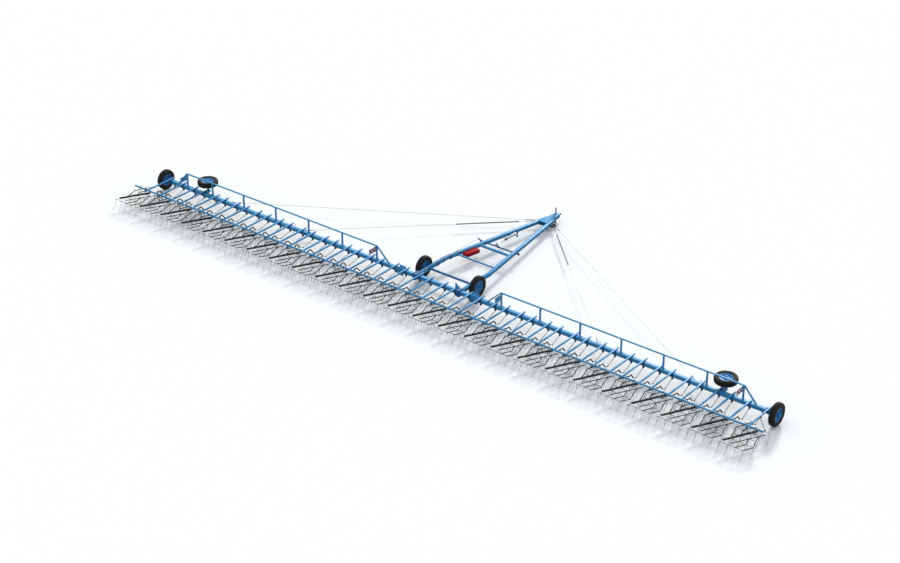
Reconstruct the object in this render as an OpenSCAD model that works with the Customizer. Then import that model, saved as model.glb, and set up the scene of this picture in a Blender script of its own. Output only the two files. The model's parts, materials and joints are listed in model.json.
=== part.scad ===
// Trailed wing harrow for grassland: a drawbar with a beam that rolls, two wings that flex,
// and a row of spring tine sections hung from pull chains and a lift pipe.
// Millimetres. X runs along the beam, Y points to the tractor, Z is up, the ground is Z = 0.

/* [Layout] */
// Harrow sections on each wing
wing_sections = 11; // [9:1:14]
// Harrow sections under the centre beam
centre_sections = 3; // [3:2:5]
// Distance from one harrow section to the next
section_pitch = 1000; // [980:5:1060]

/* [Beam] */
// Outside width of the square beam tube
beam_size = 120; // [100:1:140]
// Wall of the beam tube
beam_wall = 8; // [5:0.5:12]
// Distance from the outer edge of the last section in to the end of the beam
beam_end_inset = 580; // [560:5:620]

/* [Wing hinges] */
// Gap between the centre beam and a wing beam
hinge_gap = 40; // [36:1:60]
// Diameter of the hinge pin
hinge_pin_d = 40; // [30:1:50]
// Depth of the hinge pin below the beam
hinge_drop = 50; // [44:1:70]
// Thickness of a hinge ear
ear_t = 12; // [8:1:16]
// Length of a hinge ear along the beam
ear_length = 250; // [220:5:280]
// Height of a hinge ear above the beam
ear_rise = 75; // [40:1:100]
// Width of the hinge knuckle on the wing
knuckle_w = 110; // [80:1:116]

/* [Wheels] */
// Diameter of every tyre
tyre_d = 720; // [680:5:760]
// Width of every tyre
tyre_w = 190; // [160:1:200]
// Diameter of the rim
rim_d = 410; // [360:2:440]
// Diameter of the stub axles
axle_d = 50; // [40:1:60]
// Gap from the beam's end to the end wheel
end_wheel_gap = 135; // [120:1:160]
// Distance of the carried transport wheel in front of the beam's centre
transport_wheel_y = 250; // [235:1:280]
// Height of the carried transport wheel's centre above the beam's centre
transport_wheel_rise = 340; // [320:1:380]

/* [Lift frame] */
// Width of the square lift arms
arm_size = 45; // [36:1:50]
// Wall of the lift arms
arm_wall = 4; // [3:0.5:6]
// Distance of a lift arm from the middle of its section
arm_offset = 285; // [270:1:300]
// Reach of the lift arms in front of the beam's centre
arm_front = 170; // [140:1:190]
// Diameter of the lift pipe
pipe_d = 60; // [48:1:66]
// Wall of the lift pipe
pipe_wall = 4; // [3:0.5:6]
// Length of the lift pipe past the last lift arm
pipe_overhang = 510; // [450:5:560]

/* [Truss] */
// Height of the truss rail above the beam's centre
rail_rise = 535; // [500:5:580]
// Width of the square truss rail
rail_size = 40; // [30:1:50]
// Width of the square truss posts
post_size = 46; // [36:1:50]
// Amount by which a post bay is shorter than one and a half sections
post_lag = 29; // [0:1:40]
// Height of a marker plate
plate_h = 185; // [150:5:220]
// Length of a marker plate behind its post
plate_length = 380; // [250:5:420]
// Thickness of a marker plate
plate_t = 4; // [3:0.5:8]

/* [Harrow section] */
// Height of the section bars above the ground
bar_height = 290; // [260:5:310]
// Distance between tine rows
row_pitch = 297; // [285:1:300]
// Distance of the rear tine row behind the beam's centre
rear_row = 2085; // [2060:5:2120]
// Half width of the section over its outer tines
half_width = 455; // [440:1:465]
// Distance between the two long bars
long_bar_gap = 260; // [240:1:270]
// Rear end of the inner short bar, from the section's middle
inner_short_x = 50; // [40:1:60]
// Rear end of the outer short bar, from the section's middle
outer_short_x = 290; // [280:1:292]
// Middle of the outer short bar, from the section's middle
outer_knee_x = 355; // [340:1:370]
// Width of the thick long bar
main_bar_w = 50; // [40:1:56]
// Height of the thick long bar
main_bar_h = 46; // [36:1:50]
// Distance from the ends of the long bars to the outer tine rows
bar_inset = 135; // [120:1:150]
// Width of the other bars
bar_w = 30; // [24:1:36]
// Height of the other bars
bar_h = 16; // [12:1:20]
// Width of the cross straps
strap_w = 14; // [10:1:20]
// Thickness of the cross straps
strap_t = 8; // [6:1:8]
// Diameter of the tine wire
tine_d = 12; // [8:0.5:14]
// Radius of the tine's bend
tine_bend_r = 280; // [240:5:285]
// Angle of the tine's bend
tine_bend = 60; // [50:1:65]

/* [Pull chains and hangers] */
// Diameter of the pull chain
chain_d = 14; // [10:1:16]
// Diameter of the pin that joins a chain to its section
pull_pin_d = 20; // [16:1:22]
// Depth of a chain bracket below the beam
bracket_drop = 100; // [80:5:120]
// Width of a chain bracket along the beam
bracket_w = 40; // [30:1:40]
// Reach of the section's pull lugs in front of the front row
lug_reach = 62; // [55:1:75]
// Reach of the bent pull link in front of the pull pin
link_reach = 405; // [380:5:420]
// Height of the pull link's front eye above the ground
link_eye_z = 90; // [80:5:110]
// Width of the pull link's flat bar
link_w = 36; // [30:1:40]
// Distance of a hanger loop from the middle of its section
hanger_x = 165; // [140:1:190]
// Diameter of the hanger loop's wire
hanger_d = 12; // [8:1:14]
// Gap from the lift pipe to the top of the hanger loop
hanger_lift = 32; // [28:1:40]
// Gap from the lift pipe to the sides of the hanger loop
hanger_play = 27; // [25:1:32]

/* [Drawbar] */
// Distance of the beam bearings from the middle
bearing_x = 880; // [870:1:895]
// Width of a beam bearing
bearing_w = 110; // [90:1:116]
// Wall of a beam bearing round its journal
bearing_wall = 25; // [16:1:35]
// Wall of the beam's journals over the tube's corners
journal_wall = 5; // [4:0.5:8]
// Width of the drawbar members
member_w = 100; // [80:1:110]
// Height of the drawbar members
member_h = 120; // [100:1:140]
// Wall of the drawbar members
member_wall = 6; // [4:0.5:10]
// Distance of the bend in the members in front of the beam
kink_y = 1500; // [1350:10:1600]
// Distance of the hitch eye in front of the beam
hitch_y = 6620; // [6300:10:6900]
// Height of the hitch eye above the ground
hitch_z = 215; // [200:5:260]
// Distance of the members' front ends from the hitch eye
member_stop = 570; // [540:10:620]
// Half distance between the members at their front ends
nose_half = 130; // [120:1:150]
// Diameter of the hitch eye's bore
hitch_bore_d = 52; // [40:1:60]
// Outside diameter of the hitch eye
hitch_eye_d = 120; // [110:1:140]
// Thickness of the hitch eye
hitch_eye_t = 40; // [30:1:60]
// Distance of the centre wheels' axle in front of the beam
axle_y = 640; // [620:5:700]
// Diameter of the centre axle between the members
axle_tube_d = 76; // [60:1:84]
// Gap from a drawbar member to its centre wheel
centre_wheel_gap = 55; // [50:1:80]
// Diameter of the thin cross tube
thin_cross_d = 60; // [50:1:70]
// Diameter of the thick cross tube
thick_cross_d = 90; // [70:1:100]
// Distance of the thin cross tube in front of the beam
thin_cross_y = 1960; // [1800:10:2050]
// Distance of the thick cross tube in front of the beam
thick_cross_y = 2960; // [2900:10:3020]

/* [Roll gear] */
// Distance of the rock shaft in front of the beam
rock_y = 3240; // [3200:10:3300]
// Diameter of the rock shaft
rock_d = 50; // [40:1:56]
// Length of the roll levers
roll_lever = 220; // [215:1:235]
// Length of the lever that the cylinder pushes
push_lever = 150; // [130:1:160]
// Thickness of every lever plate
lever_t = 16; // [12:1:20]
// Diameter of the lever pins
lever_pin_d = 24; // [18:1:26]
// Diameter of the tube on the link rod
link_tube_d = 44; // [30:1:44]
// Distance of the roll lever from the middle
roll_lever_x = 780; // [774:1:784]
// Distance of the cylinder from the middle
cylinder_x = 60; // [50:1:120]
// Outside diameter of the cylinder
cylinder_d = 80; // [70:1:100]
// Wall of the cylinder
cylinder_wall = 9; // [6:0.5:12]
// Length of the cylinder
cylinder_length = 660; // [600:10:720]
// Diameter of the cylinder's rod
piston_rod_d = 40; // [30:1:50]

/* [Stays] */
// Diameter of the stay ropes
stay_d = 14; // [10:1:18]
// Diameter of the tensioner tube on the inner stay
tensioner_d = 46; // [40:1:70]
// Length of the tensioner tube
tensioner_length = 2100; // [1800:50:2300]
// Distance of the tensioner tube from the drawbar
tensioner_start = 650; // [500:10:800]
// Length of the turnbuckle at the outer end of a stay
turnbuckle_length = 600; // [400:10:700]
// Diameter of the turnbuckle
turnbuckle_d = 26; // [20:1:32]
// Diameter of the pins that hold the stays
stay_pin_d = 24; // [18:1:28]
// Distance of the stay pins from the middle
stay_pin_x = 330; // [310:1:350]
// Distance of the stay pins behind the hitch eye
stay_pin_back = 820; // [780:5:860]

/* [Tool box and jack] */
// Length of the tool box
tool_box_length = 580; // [500:10:620]
// Width of the tool box
tool_box_w = 210; // [180:5:240]
// Depth of the tool box
tool_box_h = 120; // [100:5:140]
// Wall of the tool box
tool_box_wall = 3; // [2:0.5:5]
// Distance from the members' bend to the tool box
tool_box_start = 690; // [660:10:720]
// Diameter of the jack's leg
jack_d = 60; // [50:1:64]
// Distance of the jack behind the hitch eye
jack_back = 260; // [240:5:290]
// Height of the jack's leg
jack_height = 500; // [460:5:540]
// Width of the jack's foot
jack_foot_w = 160; // [130:5:200]
// Thickness of the jack's foot
jack_foot_t = 12; // [8:1:16]
// Height that the jack's leg can be raised
jack_travel = 100; // [80:1:104]

/* [Hidden] */
$fn = 48;
// Radial clearance of a pin or shaft that turns in a bore
run_clear = 0.05;
// Gap between pieces that are seated on each other or run side by side
seat_gap = 0.3;
// Overlap that carries a cut through a face
cut = 1;
// Clearance of a part that swings past another
swing_gap = 8;

side_names = ["left", "right"];
sections = centre_sections + 2 * wing_sections;
last_row = 4;
beam_z = tyre_d / 2;
beam_top = beam_z + beam_size / 2;
beam_bottom = beam_z - beam_size / 2;
hinge_x = centre_sections * section_pitch / 2;
half_span = sections * section_pitch / 2;
beam_end = half_span - beam_end_inset;
hinge_z = beam_bottom - hinge_drop;
knuckle_r = hinge_drop - swing_gap;
end_wheel_x = beam_end + end_wheel_gap + tyre_w / 2;
end_arm_x = beam_end - arm_size / 2;
arm_top = beam_top + arm_size;
pipe_z = arm_top + seat_gap + pipe_d / 2;
pipe_end = end_arm_x + pipe_overhang;
front_row_y = row_y(last_row);
pipe_y = row_y(3);
pull_y = front_row_y + lug_reach;
pull_z = bar_height + bar_h;
lug_h = 2 * bar_h;
pin_out = 2 * pull_pin_d;
bracket_l = 60;
strap_z = bar_height + bar_h;
strap_top = strap_z + strap_t;
lean = (2 * half_width - long_bar_gap) / last_row;
tine_straight = bar_height - (tine_bend_r + tine_d / 2) * sin(tine_bend);
tip_reach = tine_bend_r * (1 - cos(tine_bend)) + tine_d / 2 * cos(tine_bend);
slope = asin((beam_z - hitch_z) / (hitch_y - kink_y));
rear_y = -rear_row - tip_reach;
front_y = kink_y + (hitch_y - kink_y + hitch_eye_d / 2) * cos(slope) + hitch_eye_t / 2 * sin(slope);
beam_y = -(front_y + rear_y) / 2;

member_end = hitch_y - kink_y - member_stop;
taper = atan((bearing_x - nose_half) / member_end);
member_run = member_end / cos(taper);
journal_r = beam_size / sqrt(2) + journal_wall;
bearing_size = 2 * (journal_r + bearing_wall);
centre_wheel_x = bearing_x + member_w / 2 + centre_wheel_gap + tyre_w / 2;

rock_z = bar_z(rock_y);
lever_lean = 45;
rod_z = rock_z + push_lever * (1 + cos(lever_lean)) / 2;
roll_stroke = 2 * push_lever * sin(lever_lean);
barrel_y = rock_y + roll_stroke / 2 + 250;
link_x = roll_lever_x - lever_t - seat_gap;
rock_left = roll_lever_x + lever_t / 2 + 20;
rock_right = member_x(rock_y) + member_w / 2 + 130;

inner_stay_x = half_span - 6.39 * section_pitch;
outer_stay_x = half_span - 2.86 * section_pitch;
stay_pin_z = bar_z(hitch_y - stay_pin_back) - member_h / 2;
loop_half_h = beam_size / sqrt(2) + 40;
loop_half_y = beam_size / sqrt(2) + seat_gap + stay_d / 2;
transport_x = half_span - 2.5 * section_pitch + 330;
jack_y = hitch_y - jack_back;
nose_w = 2 * nose_half - member_w;
nose_end = hitch_y - kink_y - hitch_eye_d / 2 - 60;
head_t = 12;
head_y = member_end - 460;
gland = 40;
last_chain_y = -tyre_d / 2 - 90;
last_lug_x = half_span - section_pitch / 2 + arm_offset;

first_post = hinge_x + section_pitch;
post_bay = 1.5 * section_pitch - post_lag;
last_post = half_span - 1.5 * section_pitch + 57;
post_count = 1 + floor((last_post - first_post - section_pitch / 2) / post_bay);
post_x = concat([for (i = [0:post_count - 1]) first_post + i * post_bay], [last_post]);

paint = [0.16, 0.47, 0.78];
dark_paint = [0.08, 0.30, 0.62];
black_steel = [0.08, 0.08, 0.09];
bare_steel = [0.55, 0.56, 0.58];
rubber = [0.07, 0.07, 0.07];
red_paint = [0.75, 0.10, 0.09];

function row_y(row) = -rear_row + row * row_pitch;
function section_name(i) = str("harrow_section_", i < 10 ? "0" : "", i);
function section_x(i) = (i - (sections + 1) / 2) * section_pitch;
function bar_z(y) = beam_z - (y - kink_y) * tan(slope);
function member_x(y) = bearing_x - (y - kink_y) * tan(taper);
function long_x(bar, row) = -half_width + bar * long_bar_gap + row * lean;
function turned(path) = [for (p = path) [-p[0], last_row - p[1]]];
function on_section(p) = [p[0], row_y(p[1])];
function wing_chain_x() = [for (i = [0:wing_sections - 1], side = [-1, 1])
    if (i < wing_sections - 1 || side < 0) hinge_x + (i + 0.5) * section_pitch + side * arm_offset];
function wing_arm_x() = [for (x = wing_chain_x()) if (x < end_arm_x - section_pitch / 2) x, end_arm_x];
function centre_arm_x() = [for (i = [0:centre_sections - 1], side = [-1, 1])
    -hinge_x + (i + 0.5) * section_pitch + side * arm_offset];

// Puts the beam's centre line at its place, so that the origin is under the middle of the machine
module from_beam() {
    translate([0, beam_y, 0]) children();
}

// The left side is the mirror image of the right side
module on_side(side) {
    from_beam() mirror([side == "left" ? 1 : 0, 0, 0]) children();
}

// The front of the drawbar falls from the bend to the hitch
module on_slope() {
    translate([0, kink_y, beam_z]) rotate([-slope, 0, 0]) children();
}

// Square or oblong tube along +Y
module box_tube(w, h, length, wall) {
    difference() {
        translate([-w / 2, 0, -h / 2]) cube([w, length, h]);
        translate([-w / 2 + wall, -cut, -h / 2 + wall])
            cube([w - 2 * wall, length + 2 * cut, h - 2 * wall]);
    }
}

// Square tube along X from x0 to x1
module beam_tube(x0, x1, y, z, size, wall) {
    translate([x0, y, z]) rotate([0, 0, -90]) box_tube(size, size, x1 - x0, wall);
}

// Round bar from one point to another
module rod(from, to, d) {
    way = to - from;
    run = norm(way);
    translate(from) rotate([0, acos(way[2] / run), atan2(way[1], way[0])]) cylinder(h = run, d = d);
}

// Round bar along X, centred on x
module shaft_x(x, y, z, length, d) {
    translate([x - length / 2, y, z]) rotate([0, 90, 0]) cylinder(h = length, d = d);
}

// Round bar along Y, centred on y
module shaft_y(x, y, z, length, d) {
    translate([x, y + length / 2, z]) rotate([90, 0, 0]) cylinder(h = length, d = d);
}

// Tyre and rim round the X axis, with the rim's hub bored for a stub axle
module wheel() {
    tyre_r = tyre_d / 2;
    rim_r = rim_d / 2;
    half = tyre_w / 2;
    shoulder = tyre_w * 0.18;
    hub_r = axle_d * 0.9;
    rim_half = tyre_w * 0.36;
    disc_t = 10;
    lip = 14;
    color(rubber) rotate([0, 90, 0]) rotate_extrude() polygon([
        [rim_r + seat_gap, -half * 0.72], [rim_r + (tyre_r - rim_r) * 0.45, -half],
        [tyre_r - shoulder, -half * 0.94], [tyre_r - shoulder * 0.2, -half * 0.72], [tyre_r, -half * 0.4],
        [tyre_r, half * 0.4], [tyre_r - shoulder * 0.2, half * 0.72], [tyre_r - shoulder, half * 0.94],
        [rim_r + (tyre_r - rim_r) * 0.45, half], [rim_r + seat_gap, half * 0.72]]);
    color(paint) rotate([0, 90, 0]) rotate_extrude() polygon([
        [axle_d / 2 + run_clear, -half], [hub_r, -half], [hub_r, -disc_t / 2],
        [rim_r - lip, -disc_t / 2], [rim_r - lip, -rim_half], [rim_r, -rim_half],
        [rim_r, rim_half], [rim_r - lip, rim_half], [rim_r - lip, disc_t / 2],
        [hub_r, disc_t / 2], [hub_r, half], [axle_d / 2 + run_clear, half]]);
}

// Stub axle along +X whose collars hold a wheel at x
module stub_axle(from_x, x, y, z) {
    collar_t = 12;
    inner = x - tyre_w / 2 - seat_gap;
    outer = x + tyre_w / 2 + seat_gap;
    translate([from_x, y, z]) rotate([0, 90, 0]) {
        cylinder(h = inner - from_x, d = axle_d * 1.5);
        cylinder(h = outer + collar_t - from_x, d = axle_d);
    }
    translate([outer, y, z]) rotate([0, 90, 0]) cylinder(h = collar_t, d = axle_d * 1.4);
}

// Outline of one drawbar member as a solid bar: straight at the bearing, then drawn in to the nose
module member_solid(side, inset = 0) {
    w = member_w - 2 * inset;
    h = member_h - 2 * inset;
    start = bearing_size / 2;
    over = inset > 0 ? cut : 0;
    translate([side * bearing_x - w / 2, start - over, beam_z - h / 2])
        cube([w, kink_y - start + over, h]);
    on_slope() translate([side * bearing_x, 0, 0]) rotate([0, 0, side * taper])
        translate([-w / 2, -member_w / 4, -h / 2]) cube([w, member_run + member_w / 4 + over, h]);
}

module drawbar_member(side) {
    color(paint) difference() {
        member_solid(side);
        member_solid(side, member_wall);
        shaft_x(side * bearing_x, axle_y, beam_z, 2 * member_w, axle_tube_d + 2 * seat_gap);
        shaft_x(side * bearing_x / 2, rock_y, rock_z, bearing_x, rock_d + 2 * run_clear);
    }
}

module drawbar_cross_tubes() {
    spots = [[thin_cross_y, thin_cross_d], [thick_cross_y, thick_cross_d]];
    wall = 5;
    color(paint) for (spot = spots) difference() {
        shaft_x(0, spot[0], bar_z(spot[0]), 2 * member_x(spot[0]), spot[1]);
        shaft_x(0, spot[0], bar_z(spot[0]), 2 * bearing_x, spot[1] - 2 * wall);
        for (side = [-1, 1]) member_solid(side);
    }
}

// Plates that close the nose, the nose box, the jack's sleeve and the pins for the stays
module drawbar_head() {
    wide = nose_half + (member_end - head_y) * tan(taper) - member_w / 8;
    narrow = nose_half - member_w / 8;
    sleeve_wall = 10;
    sleeve_bottom = jack_foot_t + jack_travel + swing_gap;
    sleeve_top = bar_z(jack_y) + member_h / 2 + head_t + 40;
    color(paint) difference() {
        union() {
            on_slope() {
                for (z = [-member_h / 2 - head_t, member_h / 2]) translate([0, 0, z])
                    linear_extrude(head_t) polygon([[-wide, head_y], [wide, head_y],
                        [narrow, member_end], [nose_w / 2, nose_end], [-nose_w / 2, nose_end],
                        [-narrow, member_end]]);
                translate([0, member_end, 0]) box_tube(nose_w, member_h, nose_end - member_end, head_t);
                translate([-nose_w / 2, nose_end - head_t, -member_h / 2])
                    cube([nose_w, head_t, member_h]);
            }
            translate([0, jack_y, sleeve_bottom])
                cylinder(h = sleeve_top - sleeve_bottom, d = jack_d + 2 * sleeve_wall);
        }
        translate([0, jack_y, sleeve_bottom - cut])
            cylinder(h = sleeve_top - sleeve_bottom + 2 * cut, d = jack_d + 2 * run_clear);
    }
    for (side = [-1, 1]) stay_anchor(side);
}

// Two cheeks on the side of a member with the pin that the stays turn on
module stay_anchor(side) {
    cheek_t = 10;
    pin_length = 6 * stay_pin_d + 2 * cheek_t;
    y = hitch_y - stay_pin_back;
    inside = member_x(y);
    color(dark_paint) difference() {
        union() {
            for (end = [-1, 1])
                translate([side * (inside + stay_pin_x + stay_pin_d) / 2,
                           y + end * (pin_length - cheek_t) / 2, stay_pin_z])
                    cube([stay_pin_x + stay_pin_d - inside, cheek_t, 2.4 * stay_pin_d], center = true);
            shaft_y(side * stay_pin_x, y, stay_pin_z, pin_length, stay_pin_d);
        }
        member_solid(side);
    }
}

// Ring on a shank that closes the front of the nose
module hitch_eye() {
    shank_w = 80;
    color(bare_steel) on_slope() difference() {
        union() {
            translate([0, hitch_y - kink_y, -hitch_eye_t / 2]) cylinder(h = hitch_eye_t, d = hitch_eye_d);
            translate([-shank_w / 2, nose_end, -hitch_eye_t / 2])
                cube([shank_w, hitch_y - kink_y - nose_end, hitch_eye_t]);
        }
        translate([0, hitch_y - kink_y, -hitch_eye_t]) cylinder(h = 2 * hitch_eye_t, d = hitch_bore_d);
    }
}

module beam_bearings() {
    color(dark_paint) for (side = [-1, 1]) difference() {
        translate([side * bearing_x, 0, beam_z]) cube([bearing_w, bearing_size, bearing_size], center = true);
        shaft_x(side * bearing_x, 0, beam_z, 2 * bearing_w, 2 * (journal_r + run_clear));
    }
}

module centre_axle() {
    color(dark_paint) {
        shaft_x(0, axle_y, beam_z, 2 * (centre_wheel_x - tyre_w / 2 - seat_gap), axle_tube_d);
        for (side = [0, 1]) mirror([side, 0, 0])
            stub_axle(bearing_x, centre_wheel_x, axle_y, beam_z);
    }
}

// Places the tool box along the inner face of the left member
module at_tool_box() {
    on_slope() translate([-bearing_x, 0, 0]) rotate([0, 0, -taper])
        translate([member_w / 2, tool_box_start, 0]) children();
}

module tool_box() {
    color(red_paint) at_tool_box() difference() {
        translate([0, 0, -tool_box_h]) cube([tool_box_w, tool_box_length, tool_box_h]);
        translate([tool_box_wall, tool_box_wall, tool_box_wall - tool_box_h])
            cube([tool_box_w - 2 * tool_box_wall, tool_box_length - 2 * tool_box_wall, tool_box_h]);
    }
}

// Flat lid with a turned down front edge, hung on a rod along the member
module tool_box_lid() {
    lip = 25;
    hinge_in = 2 * tool_box_wall;
    color(red_paint) at_tool_box() {
        translate([hinge_in, 0, seat_gap])
            cube([tool_box_w + seat_gap - hinge_in, tool_box_length, tool_box_wall]);
        translate([tool_box_w + seat_gap, 0, tool_box_wall + seat_gap - lip])
            cube([tool_box_wall, tool_box_length, lip]);
        translate([hinge_in, 0, 2 * tool_box_wall]) rotate([-90, 0, 0])
            cylinder(h = tool_box_length, r = tool_box_wall + seat_gap);
    }
}

// Hollow cylinder, its gland, its cap and the strut with a lug that ties it to the left member
module roll_cylinder_barrel() {
    bore = cylinder_d - 2 * cylinder_wall;
    strut_d = 40;
    end_y = barrel_y + cylinder_length;
    middle = barrel_y + cylinder_length / 2;
    lug_low = bar_z(end_y) - strut_d / 2;
    color(black_steel) difference() {
        shaft_y(-cylinder_x, middle, rod_z, cylinder_length, cylinder_d);
        shaft_y(-cylinder_x, middle, rod_z, cylinder_length - 2 * gland, bore);
        shaft_y(-cylinder_x, barrel_y, rod_z, 4 * gland, piston_rod_d + 2 * run_clear);
    }
    color(paint) difference() {
        union() {
            shaft_x(-(member_x(end_y) + cylinder_x) / 2, end_y + strut_d / 2, bar_z(end_y),
                member_x(end_y) - cylinder_x + cylinder_d / 2, strut_d);
            translate([-cylinder_x - cylinder_d / 4, end_y, lug_low])
                cube([cylinder_d / 2, strut_d / 2, rod_z + cylinder_d / 4 - lug_low]);
        }
        member_solid(-1);
    }
}

// Chromed rod with its piston and an upright slot for the push lever's pin
module roll_cylinder_rod() {
    bore = cylinder_d - 2 * cylinder_wall;
    play = 14;
    rim = 14;
    lever_room = 24;
    slot_w = lever_pin_d + play;
    slot_h = lever_pin_d + push_lever * (1 - cos(lever_lean)) + play;
    eye_y = rock_y - roll_stroke / 2;
    eye_x = -cylinder_x - lever_t - seat_gap;
    rod_start = eye_y + slot_w / 2 + rim + lever_room;
    piston_y = barrel_y + 2.5 * gland;
    color(bare_steel) {
        shaft_y(-cylinder_x, (rod_start + piston_y) / 2, rod_z, piston_y - rod_start, piston_rod_d);
        shaft_y(-cylinder_x, piston_y + gland / 2, rod_z, gland, bore - 2 * run_clear);
        difference() {
            translate([eye_x - lever_t / 2, eye_y - slot_w / 2 - rim, rod_z - slot_h / 2 - rim])
                cube([lever_t, slot_w + 2 * rim + lever_room + lever_t, slot_h + 2 * rim]);
            translate([eye_x - lever_t, eye_y - slot_w / 2, rod_z - slot_h / 2])
                cube([2 * lever_t, slot_w, slot_h]);
        }
        translate([eye_x - lever_t / 2, rod_start, rod_z - piston_rod_d / 2])
            cube([piston_rod_d / 2 - cylinder_x - eye_x + lever_t / 2, lever_t, piston_rod_d]);
    }
}

// Lever plate in the Y-Z plane from a shaft to its pin, leaning back at rest
module lever(x, y, z, length, boss_d) {
    wide = 1.8 * lever_pin_d;
    translate([x, y, z]) rotate([lever_lean, 0, 0]) {
        translate([-lever_t / 2, -wide / 2, 0]) cube([lever_t, wide, length]);
        shaft_x(0, 0, 0, lever_t, boss_d);
        shaft_x(0, 0, length, lever_t, wide);
    }
}

// Pin at the tip of a leaning lever
module lever_pin(x, y, z, length, pin_length) {
    shaft_x(x, y - length * sin(lever_lean), z + length * cos(lever_lean), pin_length, lever_pin_d);
}

module rock_shaft() {
    collar = 16;
    pin_length = 2 * lever_t + 2 * seat_gap;
    color(dark_paint) {
        shaft_x((rock_right - rock_left) / 2, rock_y, rock_z, rock_left + rock_right, rock_d);
        lever(-roll_lever_x, rock_y, rock_z, roll_lever, 1.6 * rock_d);
        lever_pin(-roll_lever_x + lever_t / 2 + pin_length / 2, rock_y, rock_z, roll_lever,
            pin_length + lever_t);
        lever(-cylinder_x, rock_y, rock_z, push_lever, 1.6 * rock_d);
        lever_pin(-cylinder_x - pin_length / 2, rock_y, rock_z, push_lever, pin_length + lever_t);
        shaft_x(rock_right - collar / 2, rock_y, rock_z, collar, 1.5 * rock_d);
    }
}

// Rod with an eye at each end that ties the rock shaft's lever to the beam's lever
module link_rod() {
    back = roll_lever * sin(lever_lean);
    up = roll_lever * cos(lever_lean);
    eye_d = 1.8 * lever_pin_d;
    rear = [-link_x, -back, beam_z + up];
    front = [-link_x, rock_y - back, rock_z + up];
    way = (front - rear) / norm(front - rear);
    tube_from = 650;
    tube_to = 1330;
    color(paint) difference() {
        union() {
            rod(rear, front, lever_t);
            rod(rear + way * tube_from, rear + way * tube_to, link_tube_d);
            shaft_x(-link_x, -back, beam_z + up, lever_t, eye_d);
            shaft_x(-link_x, rock_y - back, rock_z + up, lever_t, eye_d);
        }
        shaft_x(-link_x, -back, beam_z + up, 2 * lever_t, lever_pin_d + 2 * run_clear);
        shaft_x(-link_x, rock_y - back, rock_z + up, 2 * lever_t, lever_pin_d + 2 * run_clear);
    }
}

module jack_leg() {
    crank_d = 24;
    crank_h = 40;
    color(bare_steel) translate([0, jack_y, 0]) {
        translate([-jack_foot_w / 2, -jack_foot_w / 2, 0]) cube([jack_foot_w, jack_foot_w, jack_foot_t]);
        translate([0, 0, jack_foot_t]) cylinder(h = jack_height - jack_foot_t, d = jack_d);
        translate([0, 0, jack_height]) cylinder(h = crank_h, d = crank_d);
    }
}

// Rope loop that goes round the wing beam and leaves it free to roll
module beam_loop(x) {
    knot_d = 1.4 * stay_d;
    corners = [[-1, -1], [-1, 1], [1, 1], [1, -1]];
    spots = [for (c = corners) [x, c[0] * loop_half_y, beam_z + c[1] * loop_half_h]];
    for (i = [0:3]) {
        rod(spots[i], spots[(i + 1) % 4], stay_d);
        translate(spots[i]) sphere(d = knot_d);
    }
}

// One stay: eye on the anchor pin, rope, turnbuckle and loop
module stay(x, pin_y, tensioner) {
    start = [stay_pin_x, pin_y, stay_pin_z];
    end = [x, loop_half_y, beam_z - loop_half_h];
    along = (end - start) / norm(end - start);
    eye_w = 1.5 * stay_pin_d;
    difference() {
        union() {
            rod(start, end, stay_d);
            rod(end - along * turnbuckle_length, end - along * stay_d, turnbuckle_d);
            if (tensioner)
                rod(start + along * tensioner_start, start + along * (tensioner_start + tensioner_length),
                    tensioner_d);
            shaft_y(stay_pin_x, pin_y, stay_pin_z, eye_w, 2 * stay_pin_d);
            beam_loop(x);
        }
        shaft_y(stay_pin_x, pin_y, stay_pin_z, 2 * eye_w, stay_pin_d + 2 * run_clear);
    }
}

module stays() {
    y = hitch_y - stay_pin_back;
    color(bare_steel) {
        stay(inner_stay_x, y - stay_pin_d, true);
        stay(outer_stay_x, y + stay_pin_d, false);
    }
}

module centre_wheel() {
    translate([centre_wheel_x, axle_y, beam_z]) wheel();
}

module end_wheel() {
    translate([end_wheel_x, 0, beam_z]) wheel();
}

module transport_wheel() {
    translate([transport_x, transport_wheel_y, beam_z + transport_wheel_rise]) rotate([0, -90, 0]) wheel();
}

// Ear on one face of the centre beam that reaches past the gap and holds the hinge pin
module hinge_ear(face) {
    pad = 1;
    end = hinge_x - hinge_gap / 2;
    start = hinge_x + hinge_pin_d * 2.5 - ear_length;
    low = hinge_z - hinge_pin_d * 1.2;
    mirror([0, face < 0 ? 1 : 0, 0]) {
        translate([start, beam_size / 2, beam_bottom]) cube([end - start, pad, beam_size]);
        translate([start, beam_size / 2 + pad, low]) cube([ear_length, ear_t, beam_top + ear_rise - low]);
    }
}

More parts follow.
